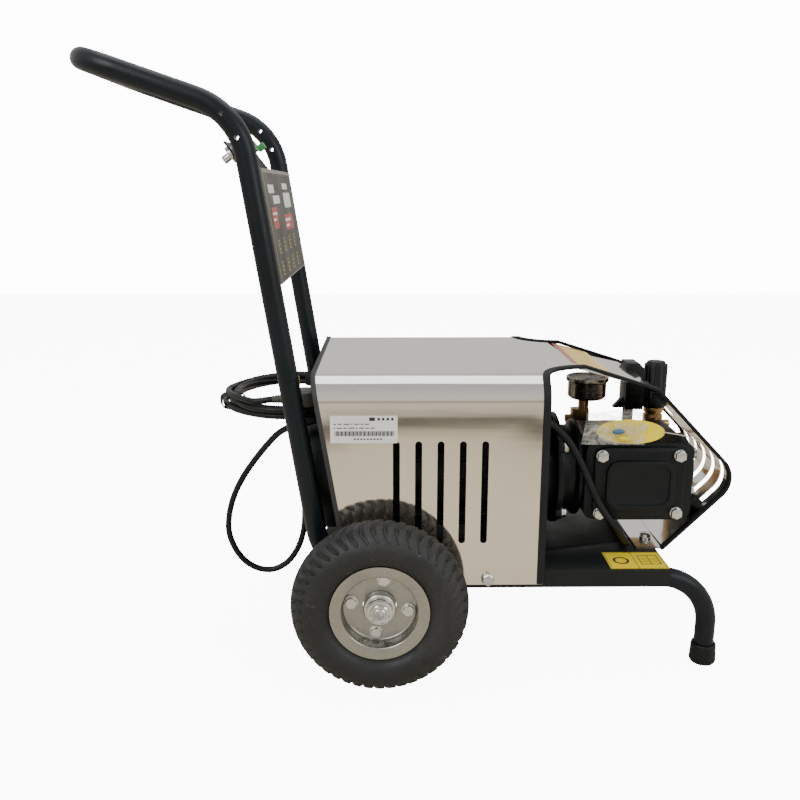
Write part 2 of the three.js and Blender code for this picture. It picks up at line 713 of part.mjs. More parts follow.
const BOLTS = [
  [PLATE.x - PLATE.boltX, SHAFT_Z + PLATE.boltZ],
  [PLATE.x + PLATE.boltX, SHAFT_Z + PLATE.boltZ],
  [PLATE.x - PLATE.boltX, SHAFT_Z - PLATE.boltZ],
  [PLATE.x + PLATE.boltX, SHAFT_Z - PLATE.boltZ],
];
function crankcaseBolt([x, z]) {
  const y = CRANK.y0 - GAP - PLATE.t - GAP;
  return join(
    rodY(x, y - 1.4, y, z, 8, 16),
    hexHead(x, y - 6.4, y - 1.2, z, 13),
    rodY(x, y - 1, CRANK.y0 - GAP, z, 4, 10),
  );
}
function oilCap() {
  const z = CRANK.z1 + 5 + GAP;
  return join(rodZ(300, -70, z, z + 5, 13, 8), rodZ(300, -70, z + 4, z + 10, 9, 8));
}
function pumpHead() {
  const { x0, x1, y0, y1, z0, z1 } = HEAD;
  const body = alongX(
    outline([[y0, z0], [y1, z0], [y1, z1 - 10], [y1 - 10, z1], [y0, z1]].reverse()),
    x0,
    x1,
  );
  const caps = [-36, 0, 36].flatMap((d) => [
    rodY(PLATE.x + 10 + d, y1 - 2, y1 + 9, 214, 12, 6),
    rodZ(PLATE.x + 6 + d, 34, z1 - 2, z1 + 8, 8.5, 6),
  ]);
  const ports = [rodX(x0 - 9, x0 + 2, 44, 208, 14, 16)];
  return join(body, ...caps, ...ports);
}
function inletCoupling() {
  const x = HEAD.x0 + 22;
  const y = HEAD.y1 + GAP;
  const body = join(
    rodY(x, y, y + 12, 240, 12, 6),
    rodY(x, y + 11, y + 20, 240, 10, 16),
    rodY(x, y + 19, y + 36, 240, 13, 16),
  );
  return cut(body, rodY(x, y + 4, y + 40, 240, 7, 12));
}
function outletCoupling() {
  const x = HEAD.x1 - 16;
  const y = HEAD.y1 + GAP;
  const body = join(
    rodY(x, y, y + 10, 236, 11, 6),
    rodY(x, y + 9, y + 22, 236, 9, 16),
    rodY(x, y + 21, y + 34, 236, 11, 16),
  );
  return cut(body, rodY(x, y + 4, y + 40, 236, 5.5, 12));
}

// Gauge standing on a tee at the head's rear end.
function gaugeFitting() {
  const { x, low } = GAUGE;
  const y = FITTINGS_Y;
  return join(
    rodZ(x - 12, y, HEAD.z1 + GAP, 274, 8, 12),
    block(x - 21, x + 3, y - 9, y + 9, 272, 296),
    rodX(x - 30, x - 19, y, 281, 6.3, 6),
    rodZ(x - 4, y, 294, low - GAP, 8, 6),
  );
}
function gaugeCase() {
  const { x, low, high, r } = GAUGE;
  const profile = [
    [0, low],
    [r - 5, low],
    [r - 1.5, low + 4],
    [r - 1.5, high - 7],
    [r + 1.5, high - 6],
    [r + 1.5, high],
    [r - 2, high],
    [r - 2, high - 5],
    [0, high - 5],
  ];
  return turnedZ(profile, 24, x, FITTINGS_Y);
}
const gaugeLens = () =>
  rodZ(GAUGE.x, FITTINGS_Y, GAUGE.high - 2.4, GAUGE.high - 0.6, GAUGE.r - 2.6, 24);
function gaugeNeedle() {
  const { x, high } = GAUGE;
  const z = high - 5 + GAP;
  const pointer = alongZ(outline([[-7, -1.6], [21, -0.5], [21, 0.5], [-7, 1.6]]), z + 0.5, z + 1.3);
  pointer.rotateZ(NEEDLE_REST).translate(x, FITTINGS_Y, 0);
  return join(pointer, rodZ(x, FITTINGS_Y, z, z + 1.9, 3, 12));
}
const NEEDLE_REST = (-135 * Math.PI) / 180;

function unloaderBody() {
  const { x, low } = KNOB;
  const y = FITTINGS_Y;
  return join(
    rodZ(x, y, HEAD.z1 + GAP, 274, 10.5, 6),
    rodZ(x, y, 273, 287, 14, 16),
    rodZ(x, y, 286, 292, 12, 16),
    rodZ(x, y, 291, low - GAP, 14, 16),
    rodX(x + 8, x + 24, y, 272, 6.5, 12),
  );
}
function unloaderKnob() {
  const { x, low, high, r } = KNOB;
  const ribs = 14;
  const points = [];
  for (let i = 0; i < ribs; i++) {
    const a = (i * 2 * Math.PI) / ribs;
    const w = Math.PI / ribs;
    points.push([r * Math.cos(a - w * 0.45), r * Math.sin(a - w * 0.45)]);
    points.push([r * Math.cos(a + w * 0.45), r * Math.sin(a + w * 0.45)]);
    points.push([(r - 1.2) * Math.cos(a + w * 0.7), (r - 1.2) * Math.sin(a + w * 0.7)]);
    points.push([(r - 1.2) * Math.cos(a + w * 1.3), (r - 1.2) * Math.sin(a + w * 1.3)]);
  }
  const grip = alongZ(outline(points), low + 12, high - 4).translate(x, FITTINGS_Y, 0);
  const skirt = rodZ(x, FITTINGS_Y, low, low + 14, r + 0.2, 20);
  const crown = rodZ(x, FITTINGS_Y, high - 6, high, r - 1.6, 16, r - 4);
  return join(grip, skirt, crown);
}
function pressureSwitch() {
  const { x0, x1, low, high } = SWITCH_BOX;
  const side = outline([
    [x0, low],
    [x1 - 1, low],
    [x1, low + 20],
    [x1, high - 10],
    [x1 - 9, high],
    [x0, high],
  ]);
  const box = alongY(side, FITTINGS_Y - 18, FITTINGS_Y + 18);
  const foot = rodZ((x0 + x1) / 2 - 3, FITTINGS_Y, HEAD.z1 + GAP, low + 1, 7, 6);
  const gusset = alongY(outline([[x0 - 14, low], [x0 + 1, low], [x0 + 1, low + 17]]), 44, 56);
  return join(box, foot, gusset);
}

// ---------------------------------------------------------------- cords
// The motor's lead to the pressure switch: out of the terminal box's side, forward inside the
// cover, down past the crankcase, along the tray under the pump and up to the switch.
const LEAD_R = 4.6;
const LEAD_ROUTE = [
  [60, -82.6, 338],
  [61, -97, 338],
  [68, -114, 338],
  [82, -128, 337.5],
  [101, -137, 337],
  [124, -142, 336.5],
  [150, -144, 336],
  [175, -144, 334.5],
  [196, -142, 331.5],
  [212, -138, 325],
  [228, -133, 311],
  [243, -130, 292],
  [256, -129, 269],
  [267, -129, 246],
  [278, -129, 222],
  [292, -128, 199],
  [308, -123, 177],
  [321, -112, 158],
  [330, -94, 145.5],
  [334, -70, 142],
  [335, -44, 142],
  [335, -16, 142],
  [335, 12, 142],
  [335, 40, 142],
  [337, 66, 143.5],
  [344, 88, 150],
  [354, 103, 167],
  [364, 111, 192],
  [371, 113, 221],
  [375, 112, 250],
  [376, 107, 278],
  [373.5, 97.5, 302],
  [368.5, 83.5, 318],
  [366.5, 69.2, 321],
].map(([x, y, z]) => V(x, y, z));

// Mains lead: out of the gland, over the front of the coil, down behind the fan cowl, round
// the hanging loop and up to the coil that rests on the cowl.
const CORD_ROUTE = [
  [-17, -35, 345],
  [-31, -35, 345],
  [-46, -35, 344.6],
  [-61, -35.5, 344],
  [-75, -36, 343],
  [-89, -36.5, 338],
  [-101, -37, 329],
  [-109.5, -37.5, 314],
  [-114, -38, 290],
  [-113, -38.5, 262],
  [-110, -39, 232],
  [-107, -39.5, 202],
  [-106, -40, 174],
  [-108, -41, 146],
  [-116, -42, 120],
  [-131, -43, 98],
  [-152, -44, 86.5],
  [-174, -45, 89],
  [-192, -46.5, 102],
  [-205, -48, 123],
  [-211, -50, 148],
  [-208, -53, 176],
  [-199, -57, 204],
  [-185, -62, 231],
  [-168, -68, 256],
  [-150, -76, 279],
  [-134, -85, 299],
  [-119, -93, 315],
].map(([x, y, z]) => V(x, y, z));

function coilRing(grow, z0, z1) {
  const { x, y, rx, ry, width } = COIL;
  const outer = [];
  const inner = [];
  for (let i = 0; i < 32; i++) {
    const a = (i * 2 * Math.PI) / 32;
    outer.push([x + (rx + grow) * Math.cos(a), y + (ry + grow) * Math.sin(a)]);
    inner.push([x + (rx - width) * Math.cos(a), y + (ry - width) * Math.sin(a)]);
  }
  const shape = outline(outer);
  shape.holes.push(new THREE.Path(outline(inner).getPoints()));
  return alongZ(shape, z0, z1);
}
function cordCoil() {
  const last = CORD_ROUTE.slice(-2);
  const on = last[1].clone().add(last[1].clone().sub(last[0]));
  const groove = pipe([last[0], last[1], on], CORD_R + GAP, 8);
  return cut(coilRing(0, COIL.low, COIL.low + COIL.height), groove);
}

// Angled mains plug: a puck with two pins, lying on the coil's near side with its pins up.
const PLUG = V(-95, -91, COIL.low + COIL.height + GAP);
function powerPlug() {
  const puck = rodZ(0, 0, 0, 20, 18, 20);
  const pins = [-9.5, 9.5].map((d) => rodZ(d, 0, 19, 38, 2.4, 8));
  const relief = rod(V(-14, 0, 9), V(-44, 0, 7), 7, 12, 5);
  return join(puck, ...pins, relief).translate(PLUG.x, PLUG.y, PLUG.z);
}

// ---------------------------------------------------------------- assembly
for (const [name, side] of SIDES) {
  add("frame_rail_" + name, frameRail(side), BLACK_PAINT);
  add("foot_cap_" + name, footCap(side), RUBBER);
  add("tyre_" + name, tyre(side), RUBBER);
  add("rim_outer_" + name, rimHalf(side, true), ZINC);
  add("rim_inner_" + name, rimHalf(side, false), ZINC);
  add("wheel_hub_" + name, wheelHub(side), ZINC);
  add("axle_nut_" + name, axleNut(side), ZINC);
  add("cover_trim_" + name, frontTrim(side), RUBBER);
  add("cover_bolt_" + name, coverBolt(side), ZINC);
}
add("base_tray", baseTray(), BLACK_PAINT);
add("handle_tube", handleTube(), BLACK_PAINT);
add("control_panel", controlPanel(), GREY);
add("switch_plate", switchPlate(), BLACK_PAINT);
add("switch_body", switchBody(), ZINC);
add("start_button", startButton(), ZINC);
add("circuit_board", circuitBoard(), GREEN);
add("axle", axle(), ZINC);
add("cover_shell", coverShell(), STEEL);
add("cover_trim_rear", rearTrim(), RUBBER);
add("cover_bolt_nose", noseBolt(), ZINC);
add("motor_housing", motorHousing(), CAST);
add("motor_end_bell", motorEndBell(), CAST);
add("bell_housing", bellHousing(), CAST);
add("fan_cowl", fanCowl(), PLASTIC);
add("cooling_fan", coolingFan(), PLASTIC);
add("motor_shaft", motorShaft(), ZINC);
add("terminal_box", terminalBox(), PLASTIC);
add("terminal_box_lid", terminalBoxLid(), PLASTIC);
add("cord_gland", cordGland(), PLASTIC);
add("crankcase", crankcase(), CAST);
add("crankcase_cover", crankcaseCover(), CAST);
BOLTS.forEach((at, i) => add("crankcase_bolt_" + (i + 1), crankcaseBolt(at), ZINC));
add("oil_cap", oilCap(), PLASTIC);
add("pump_head", pumpHead(), BRASS);
add("inlet_coupling", inletCoupling(), BRASS);
add("outlet_coupling", outletCoupling(), BRASS);
add("gauge_fitting", gaugeFitting(), BRASS);
add("gauge_case", gaugeCase(), CAST);
add("gauge_lens", gaugeLens(), GLASS);
add("gauge_needle", gaugeNeedle(), PLASTIC);
add("unloader_body", unloaderBody(), BRASS);
add("unloader_knob", unloaderKnob(), PLASTIC);
add("pressure_switch", pressureSwitch(), PLASTIC);
add("switch_lead", pipe(LEAD_ROUTE, LEAD_R, 8), RUBBER);
add("power_cord", pipe(CORD_ROUTE, CORD_R, 8), RUBBER);
add("cord_coil", cordCoil(), RUBBER);
add("power_plug", powerPlug(), GREY);

const part = new THREE.Group();
machine.position.x = -ORIGIN_X;
part.add(machine);
export default part;
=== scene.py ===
import json
from math import atan, ceil, cos, degrees, hypot, radians, sin, sqrt, tan, pi, tau

import bmesh
import bpy
from mathutils import Matrix, Vector, noise


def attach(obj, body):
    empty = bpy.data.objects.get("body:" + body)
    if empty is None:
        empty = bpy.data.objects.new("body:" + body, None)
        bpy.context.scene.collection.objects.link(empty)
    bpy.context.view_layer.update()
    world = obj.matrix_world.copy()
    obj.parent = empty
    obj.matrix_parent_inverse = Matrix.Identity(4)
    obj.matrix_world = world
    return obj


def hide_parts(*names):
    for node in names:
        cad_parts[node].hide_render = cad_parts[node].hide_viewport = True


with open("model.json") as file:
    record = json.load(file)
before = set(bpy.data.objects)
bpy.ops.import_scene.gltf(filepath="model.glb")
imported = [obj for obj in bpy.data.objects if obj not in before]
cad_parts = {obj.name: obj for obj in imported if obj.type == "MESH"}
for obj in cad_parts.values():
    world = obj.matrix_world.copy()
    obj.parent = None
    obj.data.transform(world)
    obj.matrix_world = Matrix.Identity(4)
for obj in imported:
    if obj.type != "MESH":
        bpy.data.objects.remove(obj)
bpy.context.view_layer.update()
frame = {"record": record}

MM = 0.001
ORIGIN_X = 54.1
UP = (0, 0, 1)


def P(x, y, z):
    """A point in machine millimetres, with the axle at X = 0, as metres in the row frame."""
    return V((x - ORIGIN_X) * MM, y * MM, z * MM)


def add_object(name, data):
    o = bpy.data.objects.new(name, data)
    bpy.context.collection.objects.link(o)
    return o


def V(*numbers):
    return Vector(numbers)


# ---- camera
# Fitted to the photograph's outlines: place in machine mm, degrees down and of yaw, lens in mm.
CAMERA_AT, CAMERA_DOWN, CAMERA_YAW, CAMERA_LENS = (13.83, -1154.9, 605.99), 13.85, -0.66, 38.227
camera = add_object("photo_camera", bpy.data.cameras.new("photo_camera"))
camera.location = P(*CAMERA_AT)
camera.rotation_euler = (radians(90 - CAMERA_DOWN), 0, radians(CAMERA_YAW))
camera.data.sensor_width = 36
camera.data.lens = CAMERA_LENS
camera.data.clip_start = 0.02
bpy.context.scene.camera = camera


# ---- node material helpers
def put(node, **values):
    for key, value in values.items():
        node.inputs[key.replace("_", " ")].default_value = value


class Tree:
    """Short calls for building a node tree."""

    def __init__(self, tree):
        self.t = tree

    def node(self, kind, **props):
        n = self.t.nodes.new("ShaderNode" + kind)
        for k, v in props.items():
            setattr(n, k, v)
        return n

    def link(self, a, b):
        self.t.links.new(a, b)

    def ramp(self, fac, stops):
        n = self.node("ValToRGB")
        elements = n.color_ramp.elements
        while len(elements) < len(stops):
            elements.new(0.5)
        for e, (at, c) in zip(elements, stops):
            e.position = at
            e.color = (*c, 1)
        self.link(fac, n.inputs["Fac"])
        return n.outputs["Color"]

    def span(self, fac, lo, hi, a=0.0, b=1.0):
        n = self.node("MapRange")
        put(n, From_Min=lo, From_Max=hi, To_Min=a, To_Max=b)
        self.link(fac, n.inputs["Value"])
        return n.outputs["Result"]


class Mat(Tree):
    """A node material under construction, in object coordinates."""

    def __init__(self, name, color, rough, metal=0.0, **more):
        self.m = bpy.data.materials.new(name)
        self.m.use_nodes = True
        super().__init__(self.m.node_tree)
        self.b = self.t.nodes["Principled BSDF"]
        put(self.b, Base_Color=(*color, 1), Roughness=rough, Metallic=metal, **more)
        self.co = self.node("TexCoord").outputs["Object"]
        self.m.diffuse_color = (*color, 1)

    def stretch(self, *scale):
        n = self.node("Mapping")
        put(n, Scale=scale)
        self.link(self.co, n.inputs["Vector"])
        return n.outputs["Vector"]

    def noise(self, scale, detail=4.0, rough=0.55, vector=None, distortion=0.0):
        n = self.node("TexNoise")
        put(n, Scale=scale, Detail=detail, Roughness=rough, Distortion=distortion)
        self.link(vector or self.co, n.inputs["Vector"])
        return n.outputs["Fac"]

    def mix(self, fac, a, b):
        n = self.node("Mix", data_type="RGBA")
        self.link(fac, n.inputs[0])
        for socket, v in ((n.inputs[6], a), (n.inputs[7], b)):
            if isinstance(v, tuple):
                socket.default_value = (*v, 1)
            else:
                self.link(v, socket)
        return n.outputs[2]

    def color(self, socket):
        self.link(socket, self.b.inputs["Base Color"])
        return self

    def rough(self, fac, lo, hi, a, b):
        self.link(self.span(fac, lo, hi, a, b), self.b.inputs["Roughness"])
        return self

    def bump(self, fac, strength, distance):
        n = self.node("Bump")
        put(n, Strength=strength, Distance=distance)
        before = self.b.inputs["Normal"].links
        if before:
            self.link(before[0].from_socket, n.inputs["Normal"])
        self.link(fac, n.inputs["Height"])
        self.link(n.outputs["Normal"], self.b.inputs["Normal"])
        return self


def paint(name, dark, light, rough, grain=700.0, depth=0.00012, sheen=0.27):
    """Powder-coated or painted metal: slight colour drift, orange peel, dust in patches."""
    m = Mat(name, dark, rough, 0.0)
    put(m.b, Specular_IOR_Level=sheen)
    m.color(m.mix(m.span(m.noise(9, 5), 0.35, 0.75), dark, light))
    m.rough(m.noise(22, 6, 0.6), 0.3, 0.72, rough - 0.09, rough + 0.12)
    m.bump(m.noise(grain, 2), 0.35, depth)
    return m.m


def metal(name, base, other, rough, along=(1, 1, 1), depth=0.00004, dirt=None):
    """Plated or machined metal, with tool lines stretched across `along` and smudges."""
    m = Mat(name, base, rough, 1.0)
    lines = m.noise(60, 6, 0.65, m.stretch(*along))
    smudge = m.noise(13, 5, 0.6)
    tone = m.mix(m.span(smudge, 0.35, 0.7), base, other)
    if dirt:
        tone = m.mix(m.span(m.noise(55, 6, 0.7), 0.56, 0.74), tone, dirt)
    m.color(tone)
    m.rough(lines, 0.3, 0.7, rough - 0.05, rough + 0.08)
    m.bump(lines, 0.25, depth)
    return m.m


def rubber(name, dark, light, rough, grain=1400.0, depth=0.00008):
    m = Mat(name, dark, rough)
    put(m.b, Specular_IOR_Level=0.27)
    m.color(m.mix(m.span(m.noise(16, 6, 0.65), 0.4, 0.78), dark, light))
    m.rough(m.noise(45, 5), 0.3, 0.7, rough - 0.08, min(rough + 0.1, 0.97))
    m.bump(m.noise(grain, 2), 0.4, depth)
    return m.m


BLACK = paint("black_powder_coat", (0.0016, 0.0042, 0.0068), (0.0032, 0.0072, 0.0108), 0.36)
TRAY_BLACK = paint("tray_powder_coat", (0.003, 0.0048, 0.0044), (0.006, 0.0085, 0.008), 0.48)
CAST = paint("cast_black_paint", (0.0014, 0.0034, 0.0040), (0.0036, 0.0066, 0.0072), 0.42, 260.0, 0.0004)
PANEL = paint("grey_panel_paint", (0.19, 0.18, 0.155), (0.23, 0.22, 0.19), 0.42, sheen=0.5)
PANEL_FACE = paint("panel_print_black", (0.033, 0.031, 0.03), (0.045, 0.043, 0.041), 0.4)
RUBBER = rubber("edging_rubber", (0.004, 0.0052, 0.0058), (0.009, 0.0105, 0.011), 0.62)
GREY_RUBBER = rubber("grey_edging_rubber", (0.03, 0.031, 0.033), (0.045, 0.046, 0.048), 0.6)
CORD = rubber("cord_sheath", (0.0035, 0.0045, 0.0055), (0.008, 0.0095, 0.011), 0.42, 2200.0, 0.00003)
FOOT = rubber("foot_rubber", (0.003, 0.004, 0.0045), (0.007, 0.008, 0.0085), 0.48)
PLASTIC = rubber("moulded_plastic", (0.0022, 0.0035, 0.004), (0.005, 0.0068, 0.0075), 0.4, 1800.0, 0.00005)
ZINC = metal("zinc_plate", (0.72, 0.72, 0.70), (0.55, 0.55, 0.53), 0.24, (1, 1, 1), dirt=(0.42, 0.40, 0.36))
RIM_ZINC = metal("rim_zinc", (0.38, 0.375, 0.34), (0.30, 0.295, 0.265), 0.25,
    (1, 6, 1), 0.00006, (0.4, 0.37, 0.32))
DISC_ZINC = metal("disc_zinc", (0.38, 0.375, 0.345), (0.30, 0.295, 0.27), 0.33,
    (1, 4, 1), 0.00008, (0.33, 0.31, 0.27))
BRASS = metal("machined_brass", (0.56, 0.36, 0.15), (0.36, 0.23, 0.11), 0.33,
    (1, 1, 5), 0.00006, (0.16, 0.11, 0.06))
DARK_CHROME = metal("dark_chrome", (0.34, 0.315, 0.27), (0.28, 0.26, 0.225), 0.24, (1, 1, 4), 0.000004)
BUTTON = metal("button_steel", (0.78, 0.78, 0.76), (0.66, 0.66, 0.64), 0.22, (5, 1, 1))


def stainless():
    """Rolled sheet: fine lines along the machine and hand smears, with a painted warm reflection on the
    upright faces.
    """
    m = Mat("rolled_stainless", (0.78, 0.77, 0.75), 0.08, 1.0)
    lines = m.noise(1.0, 5, 0.7, m.stretch(9, 900, 900))
    smear = m.noise(5.5, 6, 0.62, m.stretch(1, 1, 1.6), 0.6)
    split = m.node("SeparateXYZ")
    m.link(m.node("NewGeometry").outputs["Normal"], split.inputs[0])
    # The upright faces are tinted warm beige by their normal: a painted reflection of the surroundings, not
    # the steel's own colour.
    upright = m.span(split.outputs["Z"], 0.05, 0.75, 1.0, 0.0)
    painted_reflection_tone = m.mix(upright, (0.80, 0.79, 0.775), (0.80, 0.735, 0.63))
    m.color(m.mix(m.span(smear, 0.42, 0.75, 0.0, 0.35), painted_reflection_tone, (0.63, 0.59, 0.52)))
    m.rough(smear, 0.3, 0.75, 0.045, 0.12)
    m.bump(lines, 0.12, 0.00003)
    m.bump(m.noise(1.0, 3, 0.6, m.stretch(1.5, 22, 22)), 0.2, 0.0007)
    put(m.b, Anisotropic=0.2)
    return m.m


STEEL = stainless()


def tyre_rubber():
    m = Mat("tyre_rubber", (0.012, 0.013, 0.013), 0.6)
    put(m.b, Specular_IOR_Level=0.4)
    dust = m.noise(6.5, 7, 0.7, None, 0.8)
    fine = m.noise(70, 6, 0.7)
    tone = m.mix(m.span(dust, 0.46, 0.72), (0.010, 0.0115, 0.0115), (0.03, 0.030, 0.028))
    m.color(m.mix(m.span(fine, 0.6, 0.74, 0.0, 0.6), tone, (0.085, 0.08, 0.072)))
    m.rough(dust, 0.35, 0.7, 0.42, 0.7)
    scuffs = m.noise(1.0, 5, 0.75, m.stretch(60, 12, 95), 1.2)
    patch = m.span(m.noise(4.2, 3, 0.6), 0.5, 0.66)
    both = m.node("Math", operation="MULTIPLY")
    m.link(m.span(scuffs, 0.62, 0.7), both.inputs[0])
    m.link(patch, both.inputs[1])
    worn = m.b.inputs["Base Color"].links[0].from_socket
    m.color(m.mix(both.outputs[0], worn, (0.22, 0.22, 0.21)))
    m.bump(m.noise(420, 3), 0.5, 0.00025)
    return m.m


TYRE = tyre_rubber()


def plain(name, color, rough, other=None, grain=900.0, **more):
    m = Mat(name, color, rough, **more)
    m.color(m.mix(m.span(m.noise(40, 5), 0.4, 0.7), color, other or tuple(c * 0.82 for c in color)))
    m.rough(m.noise(60, 4), 0.3, 0.7, max(rough - 0.06, 0.05), rough + 0.08)
    m.bump(m.noise(grain, 2), 0.2, 0.00003)
    return m.m


BOARD = plain("circuit_board_green", (0.03, 0.22, 0.055), 0.35, (0.05, 0.30, 0.08))
WHITE = plain("label_white", (0.78, 0.78, 0.77), 0.38, (0.70, 0.70, 0.69))
INK = plain("label_ink", (0.02, 0.02, 0.022), 0.45)
RED = plain("label_red", (0.45, 0.05, 0.045), 0.42)
YELLOW = plain("label_yellow", (0.85, 0.63, 0.006), 0.4, (0.78, 0.56, 0.005))
PANEL_YELLOW = plain("panel_print_yellow", (0.46, 0.40, 0.10), 0.45)
CREAM = plain("label_cream", (0.78, 0.55, 0.16), 0.45, (0.70, 0.49, 0.13))
PINK = plain("label_faded_red", (0.42, 0.13, 0.10), 0.45)
TAN = plain("tan_plastic", (0.42, 0.25, 0.13), 0.45)
PIN = metal("pin_brass", (0.62, 0.45, 0.2), (0.5, 0.35, 0.16), 0.28)
TAG = plain("tag_yellow", (0.80, 0.61, 0.002), 0.3, (0.73, 0.54, 0.002))
BLUE_CAP = plain("cap_blue", (0.05, 0.14, 0.26), 0.35)
YELLOW_CAP = plain("cap_yellow", (0.75, 0.62, 0.03), 0.3)
STRING = plain("tag_string", (0.62, 0.58, 0.5), 0.7)
DIAL = plain("dial_face", (0.72, 0.72, 0.69), 0.5, (0.66, 0.66, 0.63))


def clear(name, tint, low, high, rough, creases=0.0):
    """Clear glass or film whose dust and creases catch the light in streaks."""
    m = Mat(name, tint, rough, 0.0)
    streaks = m.noise(46, 2.5, 0.5, m.stretch(1, 2.2, 1), 2.2)
    m.link(m.span(streaks, 0.42, 0.66, low, high), m.b.inputs["Alpha"])
    m.color(m.mix(m.span(m.noise(30, 4), 0.4, 0.7), tint, tuple(c * 0.9 for c in tint)))
    m.rough(m.noise(50, 4), 0.3, 0.7, max(rough - 0.04, 0.02), rough + 0.08)
    if creases:
        m.bump(streaks, 0.8, creases)
    return m.m


GLASS = clear("gauge_glass", (0.85, 0.88, 0.88), 0.12, 0.3, 0.06)
BAG_FILM = clear("bag_film", (0.60, 0.58, 0.52), 0.08, 0.46, 0.14, 0.0022)


# ---- mesh helpers
def shade(me, sharp):
    for p in me.polygons:
        p.use_smooth = True
    me.set_sharp_from_angle(angle=radians(sharp))


def mesh_of(name, bm, mat, sharp=35.0):
    """A bmesh as a linked object with smooth faces and sharp edges above an angle."""
    bmesh.ops.recalc_face_normals(bm, faces=bm.faces)
    me = bpy.data.meshes.new(name)
    bm.to_mesh(me)
    bm.free()
    shade(me, sharp)
    me.materials.append(mat)
    return add_object(name, me)


def place(o, slot=None, *replaces, body="trolley"):
    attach(o, body)
    if replaces:
        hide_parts(*replaces)
    return o


def frame_of(direction):
    w = Vector(direction).normalized()
    u = w.orthogonal().normalized()
    if abs(w.z) < 0.9:
        u = Vector(UP).cross(w).normalized()
    return u, w.cross(u), w


def bridge(bm, rings, loop=False):
    """Faces between rings in turn; the last meets the first, or both ends are capped."""
    for a, b in zip(rings, rings[1:] + rings[:loop]):
        for k in range(len(a)):
            n = (k + 1) % len(a)
            bm.faces.new((a[k], a[n], b[n], b[k]))
    if not loop:
        bm.faces.new(rings[0])
        bm.faces.new(rings[-1])


def add_grid(bm, rows):
    """Faces between neighbouring vertices of rows."""
    for a, b in zip(rows, rows[1:]):
        for k in range(len(a) - 1):
            bm.faces.new((a[k], a[k + 1], b[k + 1], b[k]))


def add_lathe(bm, profile, at, axis, segments=48):
    """A closed (radius, height) profile in mm turned about an axis through a point in metres."""
    u, v, w = frame_of(axis)
    rings = []
    for r, h in profile:
        base = at + w * h * MM
        if r < 1e-6:
            rings.append([bm.verts.new(base)])
            continue
        rings.append([bm.verts.new(base + (u * c + v * s) * r * MM) for c, s in ellipse(1, 1, segments)])
    for a, b in zip(rings, rings[1:] + rings[:1]):
        if len(a) == 1 and len(b) == 1:
            continue
        for k in range(segments):
            n = (k + 1) % segments
            if len(a) == 1:
                bm.faces.new((a[0], b[k], b[n]))
            elif len(b) == 1:
                bm.faces.new((a[k], a[n], b[0]))
            else:
                bm.faces.new((a[k], a[n], b[n], b[k]))


def lathe(name, profile, at, axis, mat, segments=48, sharp=35.0):
    bm = bmesh.new()
    add_lathe(bm, profile, at, axis, segments)
    return mesh_of(name, bm, mat, sharp)


def arc(cx, cy, r, a0, a1, n):
    return [(cx + r * cos(a0 + (a1 - a0) * k / n), cy + r * sin(a0 + (a1 - a0) * k / n))
            for k in range(n + 1)]


def softened(profile, radius=0.5):
    """Each corner of a closed profile cut back to a small chamfer arc."""
    out = []
    n = len(profile)
    for i in range(n):
        a, b, c = (Vector(profile[(i + d) % n]) for d in (-1, 0, 1))
        if b.x < 1e-6:
            out.append(tuple(b))
            continue
        p, q = a - b, c - b
        reach = min(radius, p.length * 0.45, q.length * 0.45)
        s, e = b + p.normalized() * reach, b + q.normalized() * reach
        mid = (s + e + b * 1.4) / 3.4
        out += [tuple(s), tuple(mid), tuple(e)]
    return out


def rounded(corners, radii, step=0.06):
    """A polyline whose inner corners are rounded, as the CAD's tubes are."""
    out = [corners[0].copy()]
    for i in range(1, len(corners) - 1):
        back = (corners[i - 1] - corners[i]).normalized()
        on = (corners[i + 1] - corners[i]).normalized()
        turn = pi - back.angle(on)
        r = radii[i - 1]
        start = corners[i] + back * r * tan(turn / 2)
        centre = corners[i] + (back + on).normalized() * (r / cos(turn / 2))
        arm = start - centre
        axis = (-back).cross(on).normalized()
        n = max(2, ceil(turn / step))
        for k in range(n + 1):
            out.append(centre + Matrix.Rotation(turn * k / n, 3, axis) @ arm)
    out.append(corners[-1].copy())
    return out


def add_sweep(bm, points, section):
    """A closed 2D section (metres) carried along points with parallel transport."""
    n = len(points)
    tangents = [(points[min(i + 1, n - 1)] - points[max(i - 1, 0)]).normalized() for i in range(n)]
    u = frame_of(tangents[0])[0]
    rings = []
    for i, (p, t) in enumerate(zip(points, tangents)):
        if i:
            u = (tangents[i - 1].rotation_difference(t)) @ u
            u = (u - t * u.dot(t)).normalized()
        v = t.cross(u)
        rings.append([bm.verts.new(p + u * a + v * b) for a, b in section])
    bridge(bm, rings)


def ellipse(rx, ry, n):
    return [(rx * cos(tau * k / n), ry * sin(tau * k / n)) for k in range(n)]


def add_box(bm, x0, x1, y0, y1, z0, z1):
    c = [bm.verts.new(P(x, y, z)) for x in (x0, x1) for y in (y0, y1) for z in (z0, z1)]
    for f in ((0, 1, 3, 2), (4, 6, 7, 5), (0, 4, 5, 1), (2, 3, 7, 6), (0, 2, 6, 4), (1, 5, 7, 3)):
        bm.faces.new([c[i] for i in f])


def add_prism(bm, outline, to_point, d0, d1):
    """A closed outline extruded between two depths; to_point(a, b, depth) gives the place."""
    bridge(bm, [[bm.verts.new(to_point(a, b, d)) for a, b in outline] for d in (d0, d1)])


def apply_modifiers(o):
    bpy.context.view_layer.update()
    depsgraph = bpy.context.evaluated_depsgraph_get()
    me = bpy.data.meshes.new_from_object(o.evaluated_get(depsgraph))
    o.modifiers.clear()
    o.data = me


def combine(o, tool, operation="DIFFERENCE"):
    """The tool cut out of the object, or joined to it."""
    mod = o.modifiers.new("tool", "BOOLEAN")
    mod.operation = operation
    mod.solver = "EXACT"
    mod.object = tool
    apply_modifiers(o)
    bpy.data.objects.remove(tool)


